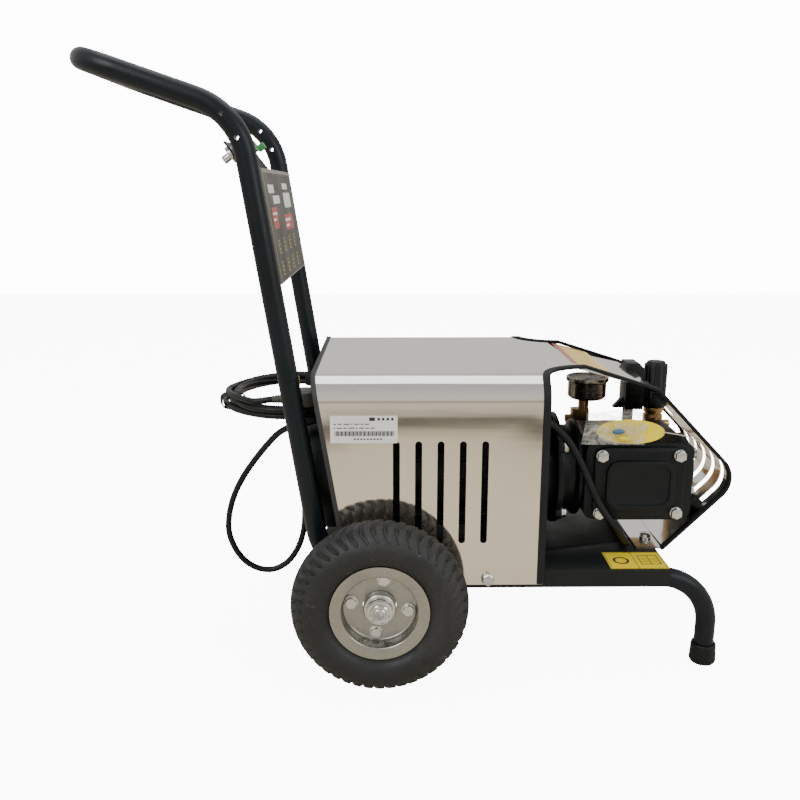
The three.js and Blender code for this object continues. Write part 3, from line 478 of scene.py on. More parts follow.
def soften(node, mat, width):
    """A copy of a CAD node with its flat faces joined and its hard edges given a small bevel."""
    sharp = 38
    bm = bmesh.new()
    bm.from_mesh(bpy.data.objects[node].data)
    bmesh.ops.remove_doubles(bm, verts=bm.verts, dist=2e-6)
    bmesh.ops.dissolve_limit(bm, angle_limit=radians(1.0), verts=bm.verts, edges=bm.edges)
    o = mesh_of(node + "_finished", bm, mat, sharp)
    mod = o.modifiers.new("edge", "BEVEL")
    mod.width = width * MM
    mod.segments = 2
    mod.limit_method = "ANGLE"
    mod.angle_limit = radians(sharp)
    apply_modifiers(o)
    shade(o.data, sharp)
    place(o, SLOT_OF[node], node, body=BODY_OF[node])


BODY_OF = {n: b for b, ns in frame["record"]["behaviour"]["bodies"].items() for n in ns}
SLOT_OF = {s["node"]: s["material_slot"] for s in frame["record"]["subparts"]}
SIDES = (("right", -1), ("left", 1))


# ---- cords
def spline(points, per):
    """Catmull-Rom points through the given ones."""
    out = []
    n = len(points)
    for i in range(n - 1):
        p0, p1, p2, p3 = (points[max(0, min(n - 1, i + d))] for d in (-1, 0, 1, 2))
        for k in range(per):
            t = k / per
            out.append(0.5 * (2 * p1 + (p2 - p0) * t + (2 * p0 - 5 * p1 + 4 * p2 - p3) * t * t
                              + (3 * p1 - p0 - 3 * p2 + p3) * t ** 3))
    out.append(points[-1])
    return out


def cord_curve(name, points, radius, mat):
    cu = bpy.data.curves.new(name, "CURVE")
    cu.dimensions = "3D"
    cu.bevel_depth = radius
    cu.bevel_resolution = 5
    cu.use_fill_caps = True
    sp = cu.splines.new("POLY")
    sp.points.add(len(points) - 1)
    for q, p in zip(sp.points, points):
        q.co = (*p, 1)
    cu.materials.append(mat)
    return add_object(name, cu)


CORD_R, LEAD_R, STRING_R = 4.25, 4.6, 0.6
EXIT = [(-17, -35, 345), (-31, -35, 345), (-46, -35, 344.6), (-61, -35.5, 344), (-75, -36, 343),
    (-89, -36.5, 338), (-101, -37, 329), (-109.5, -37.5, 314), (-114, -38, 290),
    (-113, -38.5, 262), (-110, -39, 232), (-107, -39.5, 202), (-106, -40, 174),
    (-108, -41, 146), (-116, -42, 120), (-131, -43, 98), (-152, -44, 86.5), (-174, -45, 89),
    (-192, -46.5, 102), (-205, -48, 123), (-211, -50, 148), (-208, -53, 176), (-199, -57, 204),
    (-185, -62, 231), (-168, -68, 256), (-150, -76, 279), (-134, -85, 297), (-119, -94, 308),
    (-105, -98.6, 313.2), (-91, -99.2, 316.6), (-78, -95, 319.6), (-65, -86.8, 322.3), (-54, -74.8, 324)]
COIL_X, COIL_Y, COIL_RX, COIL_RY, COIL_LOW = -121, 9, 99, 121, 320


def coil_point(angle, inset, z):
    return COIL_X + (COIL_RX - inset) * cos(angle), COIL_Y + (COIL_RY - inset) * sin(angle), z


def clamp(value):
    return max(0.0, min(1.0, value))


def ease(value, start, end):
    f = clamp((value - start) / (end - start))
    return f * f * (3 - 2 * f)


def coil_turns():
    """Turns side by side on the bottom layer, working inwards, then on top of them, working outwards."""
    low = COIL_LOW + 4.4
    start, per, last = radians(-31), 28, 4.705
    points = []
    for k in range(int(last * per) + 1):
        turn = k / per
        inset = 4.7 + 9.0 * (ease(turn, 0.6, 0.78) + ease(turn, 1.6, 1.78))
        inset -= 4.5 * ease(turn, 2.62, 2.8) + 9.0 * ease(turn, 3.6, 3.78)
        z = low + 8.6 * ease(turn, 2.3, 2.6) + 8.4 * ease(turn, 4.5, 4.68)
        points.append(coil_point(start + tau * turn, inset, z))
    return points


TAIL = [(-168, -86, 341.9), (-153, -91.4, 343.2), (-146, -92.1, 344.4), (-139.2, -91.9, 345.1)]
route = EXIT + coil_turns() + TAIL
mains_points = spline([P(*p) for p in route], 4)
mains = cord_curve("mains_cord", mains_points, CORD_R * MM, CORD)
place(mains, "cord_rubber", "power_cord", "cord_coil")

LEAD = [(60, -82.6, 338), (61.3, -98, 338.2), (68, -114, 338), (81.5, -127.8, 336.8),
    (101, -136.7, 337), (124, -142, 336.2), (150, -144, 336), (175, -144, 334.5),
    (196, -142, 331.5), (212, -138, 325), (228, -133, 311), (243, -130, 292), (256, -129, 269),
    (267, -129, 246), (278, -129, 222), (292, -128, 199), (308.4, -123.1, 178),
    (321.5, -111.9, 157.6), (330, -94, 145.5), (334, -70, 142), (334.6, -43.7, 142.6),
    (335, -16, 142), (335, 12, 142), (334.9, 40, 142), (337, 66, 143.5), (344.5, 87.7, 150.5),
    (354, 103, 167), (364, 111, 192), (371.1, 113.1, 220.8), (374.5, 110.8, 249.4),
    (375.5, 108.2, 264.2), (375.3, 107.4, 284), (373.4, 103.4, 298.8), (371.5, 95.4, 310.2),
    (369.4, 83.8, 317.6), (366.5, 69.2, 321)]
lead_points = spline([P(*p) for p in LEAD], 5)
lead = cord_curve("switch_lead_cable", lead_points, LEAD_R * MM, CORD)
place(lead, "cord_rubber", "switch_lead")

# The plug lies on the coil's near side; its pins point up and its relief takes the cord.
PLUG = (-95, -91, 337.9)


def plug_pieces():
    at = P(*PLUG)
    bm = bmesh.new()
    body = [(0, 0), (15, 0), (17.2, 1), (18, 3.5), (18, 15.5), (17, 18.6), (14.5, 20), (0, 20)]
    add_lathe(bm, body, at, UP, 56)
    relief = [(0, 12)]
    for k in range(9):
        h = 14 + k * 3.4
        r = 7.0 - 0.24 * k
        relief += [(r, h), (r, h + 2.0), (r - 1.1, h + 2.2), (r - 1.1, h + 3.2)]
    relief += [(4.6, 44), (0, 44)]
    way = V(-30, 0, -2).normalized()
    add_lathe(bm, relief, at + V(0, 0, 0.00993), way, 28)
    o = mesh_of("mains_plug", bm, PLUG_BODY, 38)
    place(o, "cord_rubber", "power_plug")
    bm = bmesh.new()
    for d in (-9.5, 9.5):
        add_lathe(bm, [(0, 19), (2.4, 19), (2.4, 36.4), (1.6, 38), (0, 38)],
                  P(PLUG[0] + d, PLUG[1], PLUG[2]), UP, 20)
    pins = place(mesh_of("mains_plug_pins", bm, PIN))
    return [o, pins]


PLUG_BODY = plain("plug_grey", (0.075, 0.078, 0.062), 0.5, (0.05, 0.052, 0.045))
plug = plug_pieces()


def tie(angle):
    """A hook-and-loop tie round the coil's section."""
    centre = Vector(coil_point(angle, 14.5, COIL_LOW + 8.6))
    out = V(cos(angle), sin(angle), 0)
    half_wide, half_high, square = 16.2, 10.4, 3.2
    pts = []
    for c, s in ellipse(1, 1, 40):
        r = 1 / ((abs(c) / half_wide) ** square + (abs(s) / half_high) ** square) ** (1 / square)
        pts.append(P(*(centre + out * r * c + V(0, 0, r * s))))
    bm = bmesh.new()
    side = V(-sin(angle), cos(angle), 0)
    rings = []
    for i, p in enumerate(pts):
        t = (pts[(i + 1) % len(pts)] - pts[i - 1]).normalized()
        n = t.cross(side).normalized()
        rings.append([bm.verts.new(p + side * a * MM + n * b * MM)
                      for a, b in ((-8, -0.5), (8, -0.5), (8, 0.6), (-8, 0.6))])
    bridge(bm, rings, loop=True)
    place(mesh_of("coil_tie_%d" % round(degrees(angle)), bm, RUBBER), "rubber")


tie(radians(78))
tie(radians(200))

# Ribbed gland with its tapering relief where the mains lead leaves the terminal box.
gland = [(0, 0), (10, 0), (10, 5), (8.6, 5.4), (8.6, 12), (8, 12.6)]
for k in range(5):
    rib, groove, h = 8 - 0.45 * k, 7 - 0.42 * k, 13 + 3.2 * k
    gland += [(rib, h), (rib, h + 2), (groove, h + 2.3), (groove, h + 2.9)]
gland += [(5.2, 30), (0, 30)]
place(lathe("cord_gland_finished", gland, P(13.7, -35, 345), (-1, 0, 0), PLASTIC, 36),
      "black_plastic", "cord_gland")
place(lathe("lead_gland", [(0, 0), (9, 0), (9, 4), (7.4, 5), (6.6, 12), (5.4, 22), (0, 22)],
            P(60.3, -82.4, 338), (0.03, -1, 0), PLASTIC, 32), "black_plastic")


# ---- frame tubes, handle and feet
TUBE_R = 12.7
SIDE_Y = 145.5
LEAN = 0.152
UPRIGHT_X0 = -52.3
lean_angle = atan(LEAN)


def upright_x(z):
    return UPRIGHT_X0 - LEAN * z


def smooth_tube(name, corners, radii):
    bm = bmesh.new()
    points = [P(*c) for c in rounded([Vector(c) for c in corners], radii)]
    add_sweep(bm, points, ellipse(TUBE_R * MM, TUBE_R * MM, 36))
    return mesh_of(name, bm, BLACK, 40)


LEG_X, RAIL_Z = 426.5, 121
for side, s in SIDES:
    y = s * SIDE_Y
    tube = smooth_tube("frame_tube_" + side, [
        (upright_x(382.4), y, 382.4), (upright_x(RAIL_Z), y, RAIL_Z), (LEG_X, y, RAIL_Z),
        (LEG_X, y, 7)], [80, 65])
    place(tube, "black_paint", "frame_rail_" + side)
    cap = softened([(0, 0), (15.5, 0), (17, 3), (16, 25), (15.2, 27), (13.0, 27), (13.0, 6.8), (0, 6.8)], 0.9)
    foot = lathe("rubber_foot_" + side, cap, P(LEG_X, y, 0), UP, FOOT, 44)
    place(foot, "rubber", "foot_cap_" + side)

BEND_Z = 691.8
BEND_X = upright_x(BEND_Z)
GRIP_X = -344.5
GRIP_Z = BEND_Z + 0.337 * (BEND_X - GRIP_X)
half = [(upright_x(382.7), 382.7), (BEND_X, BEND_Z), (GRIP_X, GRIP_Z)]
handle = smooth_tube("handle_finished",
                     [(x, -SIDE_Y, z) for x, z in half] + [(x, SIDE_Y, z) for x, z in reversed(half)],
                     [80, 58, 58, 80])
for hx, hz in ((-174.5, 689.8), (-158.6, 664.1)):
    drill = lathe("drill", [(0, -170), (3.2, -170), (3.2, 170), (0, 170)], P(hx, 0, hz), (0, 1, 0), BLACK, 20)
    combine(handle, drill)
shade(handle.data, 40)
place(handle, "black_paint", "handle_tube")

# ---- wheels
WHEEL_Y = 199
AXLE_Z = 110


def wheel_point(s, x, h, z):
    """A point of a wheel: h is the distance outwards from its middle plane."""
    return P(s * x, s * (WHEEL_Y + h), AXLE_Z + z)


TYRE_HALF = [(50.6, 19), (57, 19.9), (61.6, 20.8), (63.4, 24.2), (66, 27.5), (71, 30.6), (77, 32),
    (83, 31.9), (88, 31), (93, 28.8), (97.5, 25.5), (101.4, 22), (104.5, 18), (106.8, 14),
    (108.3, 10), (109.5, 5), (110, 0)]
TYRE_R = 110.0
LUGS = 46


def tyre_profile():
    pts = spline([V(r, h, 0) for r, h in TYRE_HALF[2:]], 2)
    side = [(50.6, 19), (56, 19.7)] + [(p.x, p.y) for p in pts]
    return side + [(r, -h) for r, h in reversed(side[:-1])]


def tread_depth(angle, r, h):
    """How far the surface is cut in at a place, in mm: curved grooves between the lugs."""
    if r < 63:
        return 0.0
    across = abs(h)
    lug = angle * LUGS / (tau)
    bend = 0.55 * sin(h / 25.0 * pi * 0.9)
    u = (lug + bend) % 1.0
    groove = clamp((0.21 - abs(u - 0.5)) / 0.07)
    band = clamp((r - 93.0) / 4.0)
    rib = 0.0
    if across < 2.6:
        groove *= max(0.0, (across - 1.2) / 1.4)
    if 66 < r < 90:
        rib = -0.9 * max(0.0, 1 - abs(r - 86.0) / 1.8) - 0.6 * max(0.0, 1 - abs(r - 69.5) / 1.4)
    return 3.9 * groove * band + max(rib, -0.9)


def tyre(side, s):
    bm = bmesh.new()
    profile = tyre_profile()
    n = LUGS * 12
    rings = []
    for i in range(n):
        a = tau * i / n
        ring = []
        for r, h in profile:
            rr = min(r - tread_depth(a, r, h), TYRE_R)
            ring.append(bm.verts.new(wheel_point(s, rr * cos(a), h, rr * sin(a))))
        rings.append(ring)
    bridge(bm, rings, loop=True)
    o = mesh_of("tyre_treaded_" + side, bm, TYRE, 50)
    place(o, "tyre", "tyre_" + side, body="wheel_" + side)


def add_hex(bm, at, axis, across, h0, h1, phase=0.0, chamfer=0.8):
    """A hexagon head with its outer corners turned off."""
    u, v, w = frame_of(axis)
    corner = across / sqrt(3)
    rings = []
    for h, limit in ((h0, 0.985), (h1 - chamfer, 0.985), (h1, 0.86)):
        ring = []
        for i in range(24):
            a = phase + tau * i / 24
            flat = (across / 2) / cos((a - phase + pi / 6) % (pi / 3) - pi / 6)
            r = min(flat, corner * limit)
            ring.append(bm.verts.new(at + (u * cos(a) + v * sin(a)) * r * MM + w * h * MM))
        rings.append(ring)
    bridge(bm, rings)


def rim(side, s, outer):
    """One half of a rim, with the heads or the nuts of its clamp bolts."""
    half = "outer" if outer else "inner"
    line = [(20.6, -0.9), (43.9, -0.9), (46.6, 0.1), (48.0, 1.8), (48.4, 4.2), (48.4, 19.2), (49.2, 20.1),
            (61, 21.2), (61.4, 22.1), (61, 23), (48.2, 21.9), (46.9, 21.2), (46.4, 20), (46.4, 4.8),
            (45.9, 2.9), (44.6, 1.6), (43, 1.1), (20.6, 1.1)]
    profile = [(r, h if outer else -h - 2.2) for r, h in line]
    bm = bmesh.new()
    add_lathe(bm, profile, wheel_point(s, 0, 0, 0), (0, s, 0), 128)
    o = mesh_of("rim_%s_%s" % (half, side), bm, DISC_ZINC, 40)
    o.data.materials.append(RIM_ZINC)
    for p in o.data.polygons:
        c = p.center
        r = hypot(c.x - P(0, 0, 0).x, c.z - AXLE_Z * MM) / MM
        if r > 46.2:  # outside the flat disc
            p.material_index = 1
    place(o, "zinc", "rim_%s_%s" % (half, side), body="wheel_" + side)
    bm = bmesh.new()
    for i in range(4):
        a = 0.148 + i * pi / 2
        x, z = 35.5 * cos(a), 35.5 * sin(a)
        way = (0, s, 0) if outer else (0, -s, 0)
        at = wheel_point(s, x, 0, z)
        if outer:
            add_lathe(bm, softened([(0, 1.1), (8.6, 1.1), (8.6, 2.2), (0, 2.2)], 0.3), at, way, 32)
            add_hex(bm, at, way, 13, 2.1, 7.0, a)
        else:
            add_hex(bm, at, way, 13, 3.2, 9.0, a)
    o = mesh_of("rim_%s_%s" % ("bolts" if outer else "nuts", side), bm, ZINC, 30)
    place(o, "zinc", body="wheel_" + side)


for side, s in SIDES:
    tyre(side, s)
    rim(side, s, True)
    rim(side, s, False)
    hub = softened([(8.4, -28), (20.2, -28), (20.2, 11), (18.5, 13), (16.2, 13), (16.2, 19), (8.4, 19)], 0.6)
    place(lathe("hub_" + side, hub, wheel_point(s, 0, 0, 0), (0, s, 0), ZINC, 72), "zinc",
          "wheel_hub_" + side, body="wheel_" + side)
    bm = bmesh.new()
    face = P(0, 0, AXLE_Z)
    washer = softened([(8.3, 218.4), (15.5, 218.4), (15.5, 220.4), (8.3, 220.4)], 0.4)
    add_lathe(bm, washer, face, (0, s, 0), 48)
    o = mesh_of("axle_washer_" + side, bm, ZINC, 35)
    place(o, "zinc")
    bm = bmesh.new()
    add_hex(bm, face, (0, s, 0), 22, 220.2, 224.5, 0.3, 1.0)
    o = mesh_of("axle_nut_finished_" + side, bm, ZINC, 30)
    combine(o, lathe("bore", [(0, 200), (8.3, 200), (8.3, 240), (0, 240)], face, (0, s, 0), ZINC, 32))
    shade(o.data, 30)
    place(o, "zinc", "axle_nut_" + side)

bm = bmesh.new()
half_axle = [(8, 0), (8, 162.6), (12, 162.6), (12, 170.4), (8, 170.4), (8, 225.2), (7.2, 226), (5.8, 226),
    (5.8, 217), (0, 217)]
profile = half_axle + [(r, -h) for r, h in reversed(half_axle[1:])]
add_lathe(bm, profile, P(0, 0, AXLE_Z), (0, 1, 0), 48)
place(mesh_of("axle_finished", bm, ZINC, 35), "zinc", "axle")

# ---- stainless cover and its edging
COVER_Y, COVER_TOP, COVER_LOW, COVER_FRONT, CORNER, SHEET = 162.1, 387.8, 118.6, 206.5, 32, 1.2
NOSE_Y = 95
MOUTH_R = 57
MOUTH_X = COVER_FRONT + MOUTH_R
SHOULDER_Z = COVER_TOP - CORNER
NOSE_FOLD_X, SLOPE_END = 246, (359, 357.6)
STRIP_ALONG = CORNER * pi / 2 + COVER_Y - CORNER - NOSE_Y


def nose_line():
    corners = [(232, COVER_TOP), (NOSE_FOLD_X, COVER_TOP), SLOPE_END, (476, 236), (380, 137.3), (345, 137.3)]
    line = rounded([V(x, 0, z) for x, z in corners], [10, 12, 34, 5], 0.07)
    return [(p.x, p.z) for p in line]


def inward(line):
    """The unit normal at each point of the nose line that points into the machine."""
    out = []
    for i in range(len(line)):
        a, b = Vector(line[max(i - 1, 0)]), Vector(line[min(i + 1, len(line) - 1)])
        d = (b - a).normalized()
        out.append(V(d.y, -d.x))
    return out


def over_shoulder(along, proud=0.0):
    """Y, Z and outward direction after a distance over the sheet from where the side bends."""
    cy, cz = COVER_Y - CORNER, SHOULDER_Z
    a = along / CORNER
    if a > pi / 2:
        return cy - (along - CORNER * pi / 2), COVER_TOP + proud, (0, 1)
    if a < 0:
        return COVER_Y + proud, cz + along, (1, 0)
    c, s = cos(a), sin(a)
    return cy + (CORNER + proud) * c, cz + (CORNER + proud) * s, (c, s)


def cut_corner(steps):
    """The rounded corner of the mouth, as (X, distance over the sheet)."""
    return arc(MOUTH_X, STRIP_ALONG - MOUTH_R, MOUTH_R, pi, pi / 2, steps)


def rear_x(z):
    """The hood's leaning rear edge."""
    return -35.7 - 0.16 * (z - 100)


def along_y(a, b, d):
    return P(a, d, b)


def steel_prism(name, outline, to_point, d0, d1):
    bm = bmesh.new()
    add_prism(bm, outline, to_point, d0, d1)
    return mesh_of(name, bm, STEEL)


def hood(y, z, r):
    """One face of the hood's section, with both upper corners rounded."""
    return ([(-y, COVER_LOW - 1)] + arc(-y + r, z - r, r, pi, pi / 2, 14)
            + arc(y - r, z - r, r, pi / 2, 0, 14) + [(y, COVER_LOW - 1)])


def cover():
    section = hood(COVER_Y, COVER_TOP, CORNER)
    section += hood(COVER_Y - SHEET, COVER_TOP - SHEET, CORNER - SHEET)[::-1]
    o = steel_prism("cover_finished", section, lambda a, b, d: P(d, a, b), -100, NOSE_FOLD_X)
    line = nose_line()
    inner = [(x + n.x * SHEET, z + n.y * SHEET) for (x, z), n in zip(line, inward(line))]
    combine(o, steel_prism("strip", line + inner[::-1], along_y, -NOSE_Y, NOSE_Y), "UNION")
    for s in (1, -1):
        corner = [(x, s * over_shoulder(w)[0]) for x, w in cut_corner(26)]
        outline = [(COVER_FRONT, s * 220)] + corner + [(300, s * NOSE_Y), (300, s * 220)]
        combine(o, steel_prism("plan", outline, P, 50, 420))
    rear = [(-120, 100), (rear_x(100), 100), (rear_x(400), 400), (-120, 400)]
    combine(o, steel_prism("rear", rear, along_y, -200, 200))
    low = [(-120, 90), (260, 90), (260, COVER_LOW), (-120, COVER_LOW)]
    combine(o, steel_prism("low", low, along_y, -200, 200))
    # cutters in one boolean must not overlap
    cutters = bmesh.new()
    for i in range(5):
        x = 20.8 + 27.3 * i
        shape = arc(x, 304.8, 4.2, 0, pi, 10) + arc(x, 179.7, 4.2, pi, tau, 10)
        add_prism(cutters, shape, along_y, -180, 180)
    for i in range(-2, 3):
        add_box(cutters, 408, 500, i * 34 - 6, i * 34 + 6, 196, 303)
    combine(o, mesh_of("cutters", cutters, STEEL))
    hatch = bmesh.new()
    add_box(hatch, 350, 428, 24, 80, 282, 400)
    combine(o, mesh_of("hatch", hatch, STEEL))
    side_hole = [(0, -170), (4.3, -170), (4.3, 170), (0, 170)]
    combine(o, lathe("hole", side_hole, P(136.7, 0, 126.7), (0, 1, 0), STEEL, 24))
    nose_hole = [(0, 130), (3.3, 130), (3.3, 150), (0, 150)]
    combine(o, lathe("hole", nose_hole, P(366, -60, 0), UP, STEEL, 20))
    shade(o.data, 30)
    place(o, "stainless", "cover_shell")


cover()

EDGE_SECTION = [(7, 2.2), (-1, 2.2), (-2, 1.5), (-2.3, 0), (-2, -1.5), (-1, -2.2), (7, -2.2), (7.3, -1.5),
    (7, -0.72), (-0.4, -0.72), (-0.4, 0.72), (7, 0.72), (7.3, 1.5)]


def edging(name, path, normals, flip, mat, node, reach=1.0):
    """A U-shaped strip pushed over a cut edge: path lies on the sheet's middle, normals point out."""
    bm = bmesh.new()
    rings = []
    last = len(path) - 1
    for i, (p, n) in enumerate(zip(path, normals)):
        t = (path[min(i + 1, last)] - path[max(i - 1, 0)]).normalized()
        into = t.cross(n).normalized() * flip
        rings.append([bm.verts.new(P(*(p + into * (a * reach if a > 0 else a) + n * b)))
                      for a, b in EDGE_SECTION])
    bridge(bm, rings)
    place(mesh_of(name, bm, mat, 40), "rubber", node)


half_sheet = SHEET / 2
up_side = [COVER_LOW + 1 - SHOULDER_Z + k * 15 for k in range(16)]
for side, s in SIDES:
    path, normals = [], []
    upright = up_side[:15] + [-14, 0, 4, 8, 12, 16, 20, 24]
    for x, w in [(COVER_FRONT, w) for w in upright] + cut_corner(30):
        y, z, (ny, nz) = over_shoulder(w, -half_sheet)
        path.append(V(x, s * y, z))
        normals.append(V(0, s * ny, nz))
    line = nose_line()
    keep = [i for i, (x, z) in enumerate(line) if (x > MOUTH_X + 2 or z < 250) and i < len(line) - 1]
    ins = inward(line)
    for i in keep:
        n = V(-ins[i].x, 0, -ins[i].y)
        path.append(V(line[i][0], s * NOSE_Y, line[i][1]) - n * half_sheet)
        normals.append(n)
    # long straight runs are divided, so that the strip turns evenly from the corner onto the nose
    dense_path, dense_normals = [path[0]], [normals[0]]
    for a, b, na, nb in zip(path, path[1:], normals, normals[1:]):
        k = max(1, round((b - a).length / 16))
        for j in range(1, k + 1):
            dense_path.append(a.lerp(b, j / k))
            dense_normals.append(na.lerp(nb, j / k).normalized())
    edging("front_edging_" + side, dense_path, dense_normals, s, RUBBER, "cover_trim_" + side)

path, normals = [], []
top = COVER_TOP - half_sheet
for s in (-1, 1):
    run = []
    for w in up_side + [CORNER * pi / 2 * k / 16 for k in range(17)]:
        y, z, (ny, nz) = over_shoulder(w, -half_sheet)
        run.append((V(rear_x(z), s * y, z), V(0, s * ny, nz)))
    run += [(V(rear_x(top), s * y, top), Vector(UP)) for y in (110, 80, 50, 20)]
    if s > 0:
        run = run[::-1]
    path += [p for p, n in run]
    normals += [n for p, n in run]
edging("rear_edging", path, normals, 1, GREY_RUBBER, "cover_trim_rear", 0.5)

# ---- CAD pieces given softer edges
FINISHES = (
    ("base_tray", TRAY_BLACK, 0.7), ("control_panel", PANEL, 0.7), ("switch_plate", BLACK, 0.4),
    ("switch_body", ZINC, 0.5), ("start_button", BUTTON, 0.9), ("circuit_board", BOARD, 0.25),
    ("cover_bolt_right cover_bolt_left cover_bolt_nose", ZINC, 0.4),
    ("motor_housing motor_end_bell", CAST, 0.7), ("fan_cowl", PLASTIC, 0.4), ("cooling_fan", PLASTIC, 0.3),
    ("motor_shaft", ZINC, 0.4), ("terminal_box", PLASTIC, 1.0), ("terminal_box_lid", PLASTIC, 1.2),
    ("crankcase crankcase_cover", CAST, 1.2),
    (" ".join("crankcase_bolt_%d" % i for i in (1, 2, 3, 4)), ZINC, 0.5),
    ("oil_cap", PLASTIC, 0.7), ("pump_head", BRASS, 0.8), ("inlet_coupling outlet_coupling", BRASS, 0.6),
    ("gauge_fitting", BRASS, 0.5), ("unloader_body", BRASS, 0.6), ("unloader_knob", PLASTIC, 0.5),
    ("pressure_switch", PLASTIC, 0.9), ("gauge_needle", INK, 0.1))
for nodes, mat, width in FINISHES:
    for node in nodes.split():
        soften(node, mat, width)

# Round bell housing between motor and pump, with its clamping ears and bolts.
SHAFT = (-35, 235)
BELL_EARS = (0.66, 2.48, 3.8, 5.62)


def off_shaft(radius, angle):
    return P(0, SHAFT[0] + radius * cos(angle), SHAFT[1] + radius * sin(angle))


ALONG_SHAFT = (1, 0, 0)
bm = bmesh.new()
bell = softened([(32, 196.3), (78, 196.3), (78, 208), (70, 214), (58, 250), (58, 258), (66, 262), (66, 267.7),
    (32, 267.7)], 1.5)
ring = softened([(40, 232), (76, 232), (76, 240), (40, 240)], 1.0)
for shape in (bell, ring):
    add_lathe(bm, shape, P(0, *SHAFT), ALONG_SHAFT, 80)
ear = softened([(0, 231.6), (9, 231.6), (9, 240.4), (0, 240.4)], 0.9)
for a in BELL_EARS:
    add_lathe(bm, ear, off_shaft(74, a), ALONG_SHAFT, 32)
place(mesh_of("bell_housing_finished", bm, CAST, 38), "cast_black", "bell_housing")
bm = bmesh.new()
washer = softened([(0, 240.2), (7.6, 240.2), (7.6, 241.6), (0, 241.6)], 0.3)
for a in BELL_EARS:
    add_lathe(bm, washer, off_shaft(74, a), ALONG_SHAFT, 28)
    add_hex(bm, off_shaft(74, a), ALONG_SHAFT, 12.4, 241.5, 246.2, a)
place(mesh_of("bell_housing_bolts", bm, ZINC, 30), "zinc")
bm = bmesh.new()
for i in range(4):
    a = pi / 4 + i * pi / 2
    add_hex(bm, off_shaft(37, a), ALONG_SHAFT, 14, 421.3, 426.4, a)
place(mesh_of("bearing_cap_bolts", bm, ZINC, 30), "zinc")

# ---- pressure gauge
GAUGE_X, GAUGE_Y, GAUGE_LOW, GAUGE_TOP, DIAL_Z = 300.5, 50, 312, 344, 339.3
gauge_at = P(GAUGE_X, GAUGE_Y, 0)
case = [(0, GAUGE_LOW), (24, GAUGE_LOW), (27.5, GAUGE_LOW + 4), (27.5, GAUGE_TOP - 7), (30.5, GAUGE_TOP - 6),
    (30.5, GAUGE_TOP), (27, GAUGE_TOP), (27, GAUGE_TOP - 5), (0, GAUGE_TOP - 5)]
place(lathe("gauge_case_finished", softened(case, 0.8), gauge_at, UP, DARK_CHROME, 80),
      "dark_chrome", "gauge_case")
lens = softened([(0, 341.6), (26.4, 341.6), (26.4, 343.4), (0, 343.4)], 0.3)
place(lathe("gauge_glass_finished", lens, gauge_at, UP, GLASS, 64), "glass", "gauge_lens")
dial = [(3.4, 339.05), (26.6, 339.05), (26.6, DIAL_Z), (3.4, DIAL_Z)]
place(lathe("gauge_dial", dial, gauge_at, UP, DIAL, 64))


def thin(name, quads, to_point, mat, d0=0.05, d1=0.3):
    """Flat closed plates; each quad is (a0, a1, b0, b1) on the surface that to_point describes."""
    bm = bmesh.new()
    for a0, a1, b0, b1 in quads:
        add_prism(bm, [(a0, b0), (a1, b0), (a1, b1), (a0, b1)], to_point, d0, d1)
    return place(mesh_of(name, bm, mat))


bm = bmesh.new()
for k in range(31):
    a = radians(-135 - 9 * k)
    inner, wide = (18.5, 0.55) if k % 5 == 0 else (21.0, 0.28)
    c, s = cos(a), sin(a)
    quad = [(inner * c - w * s, inner * s + w * c) for w in (-wide, wide)]
    quad += [(24.6 * c - w * s, 24.6 * s + w * c) for w in (wide, -wide)]
    add_prism(bm, quad, lambda p, q, d: P(GAUGE_X + p, GAUGE_Y + q, DIAL_Z + d), 0.02, 0.12)
place(mesh_of("gauge_dial_marks", bm, INK))

# ---- labels and stickers
def on_side(a, b, d):
    return P(a, -COVER_Y - d, b)


thin("side_label", [(-59.5, 22.3, 307.2, 341.8)], on_side, WHITE)
rows = [(-12, -5, 335.2, 339.6)] + [(-2 + 5.5 * i, 1 + 5.5 * i, 335.8, 339.0) for i in range(4)]
for low, widths in ((330.6, (5, 7, 9, 4, 8, 5, 7)), (325.6, (4, 8, 6, 9, 4, 8, 6, 7))):
    x = -55.5
    for w in widths:
        rows.append((x, x + w - 1.8, low, low + 1.2))
        x += w
rows += [(-54 + 1.55 * i, -53.3 + 1.55 * i + (i % 3) * 0.3, 316.2, 322.4) for i in range(47)]
rows += [(-31 + 4 * i, -28.6 + 4 * i, 311.4, 313.2) for i in range(9)]
thin("side_label_marks", rows, on_side, INK, 0.31, 0.42)

slope_way = (Vector(SLOPE_END) - V(NOSE_FOLD_X, COVER_TOP)).normalized()


def on_slope(a, b, d):
    """a runs down the nose's slope from its upper fold, b is Y."""
    x = NOSE_FOLD_X + slope_way.x * a - slope_way.y * d
    z = COVER_TOP + slope_way.y * a + slope_way.x * d
    return P(x, b, z)


A0, A1 = (253 - NOSE_FOLD_X) / slope_way.x, (305 - NOSE_FOLD_X) / slope_way.x
thin("slope_label", [(A0 + 9, A1, -56, 90)], on_slope, CREAM)
thin("slope_label_band", [(A0, A0 + 8.8, -56, 90)], on_slope, PINK)
rules = [(A0 + 12 + 6.2 * i, A0 + 12.9 + 6.2 * i, y0, y1)
         for i in range(6) for y0, y1 in ((-50, -6), (0, 38), (44, 84))]
thin("slope_label_rules", rules, on_slope, INK, 0.31, 0.4)


def on_tray(a, b, d):
    return P(a, b, TRAY_Z + d)


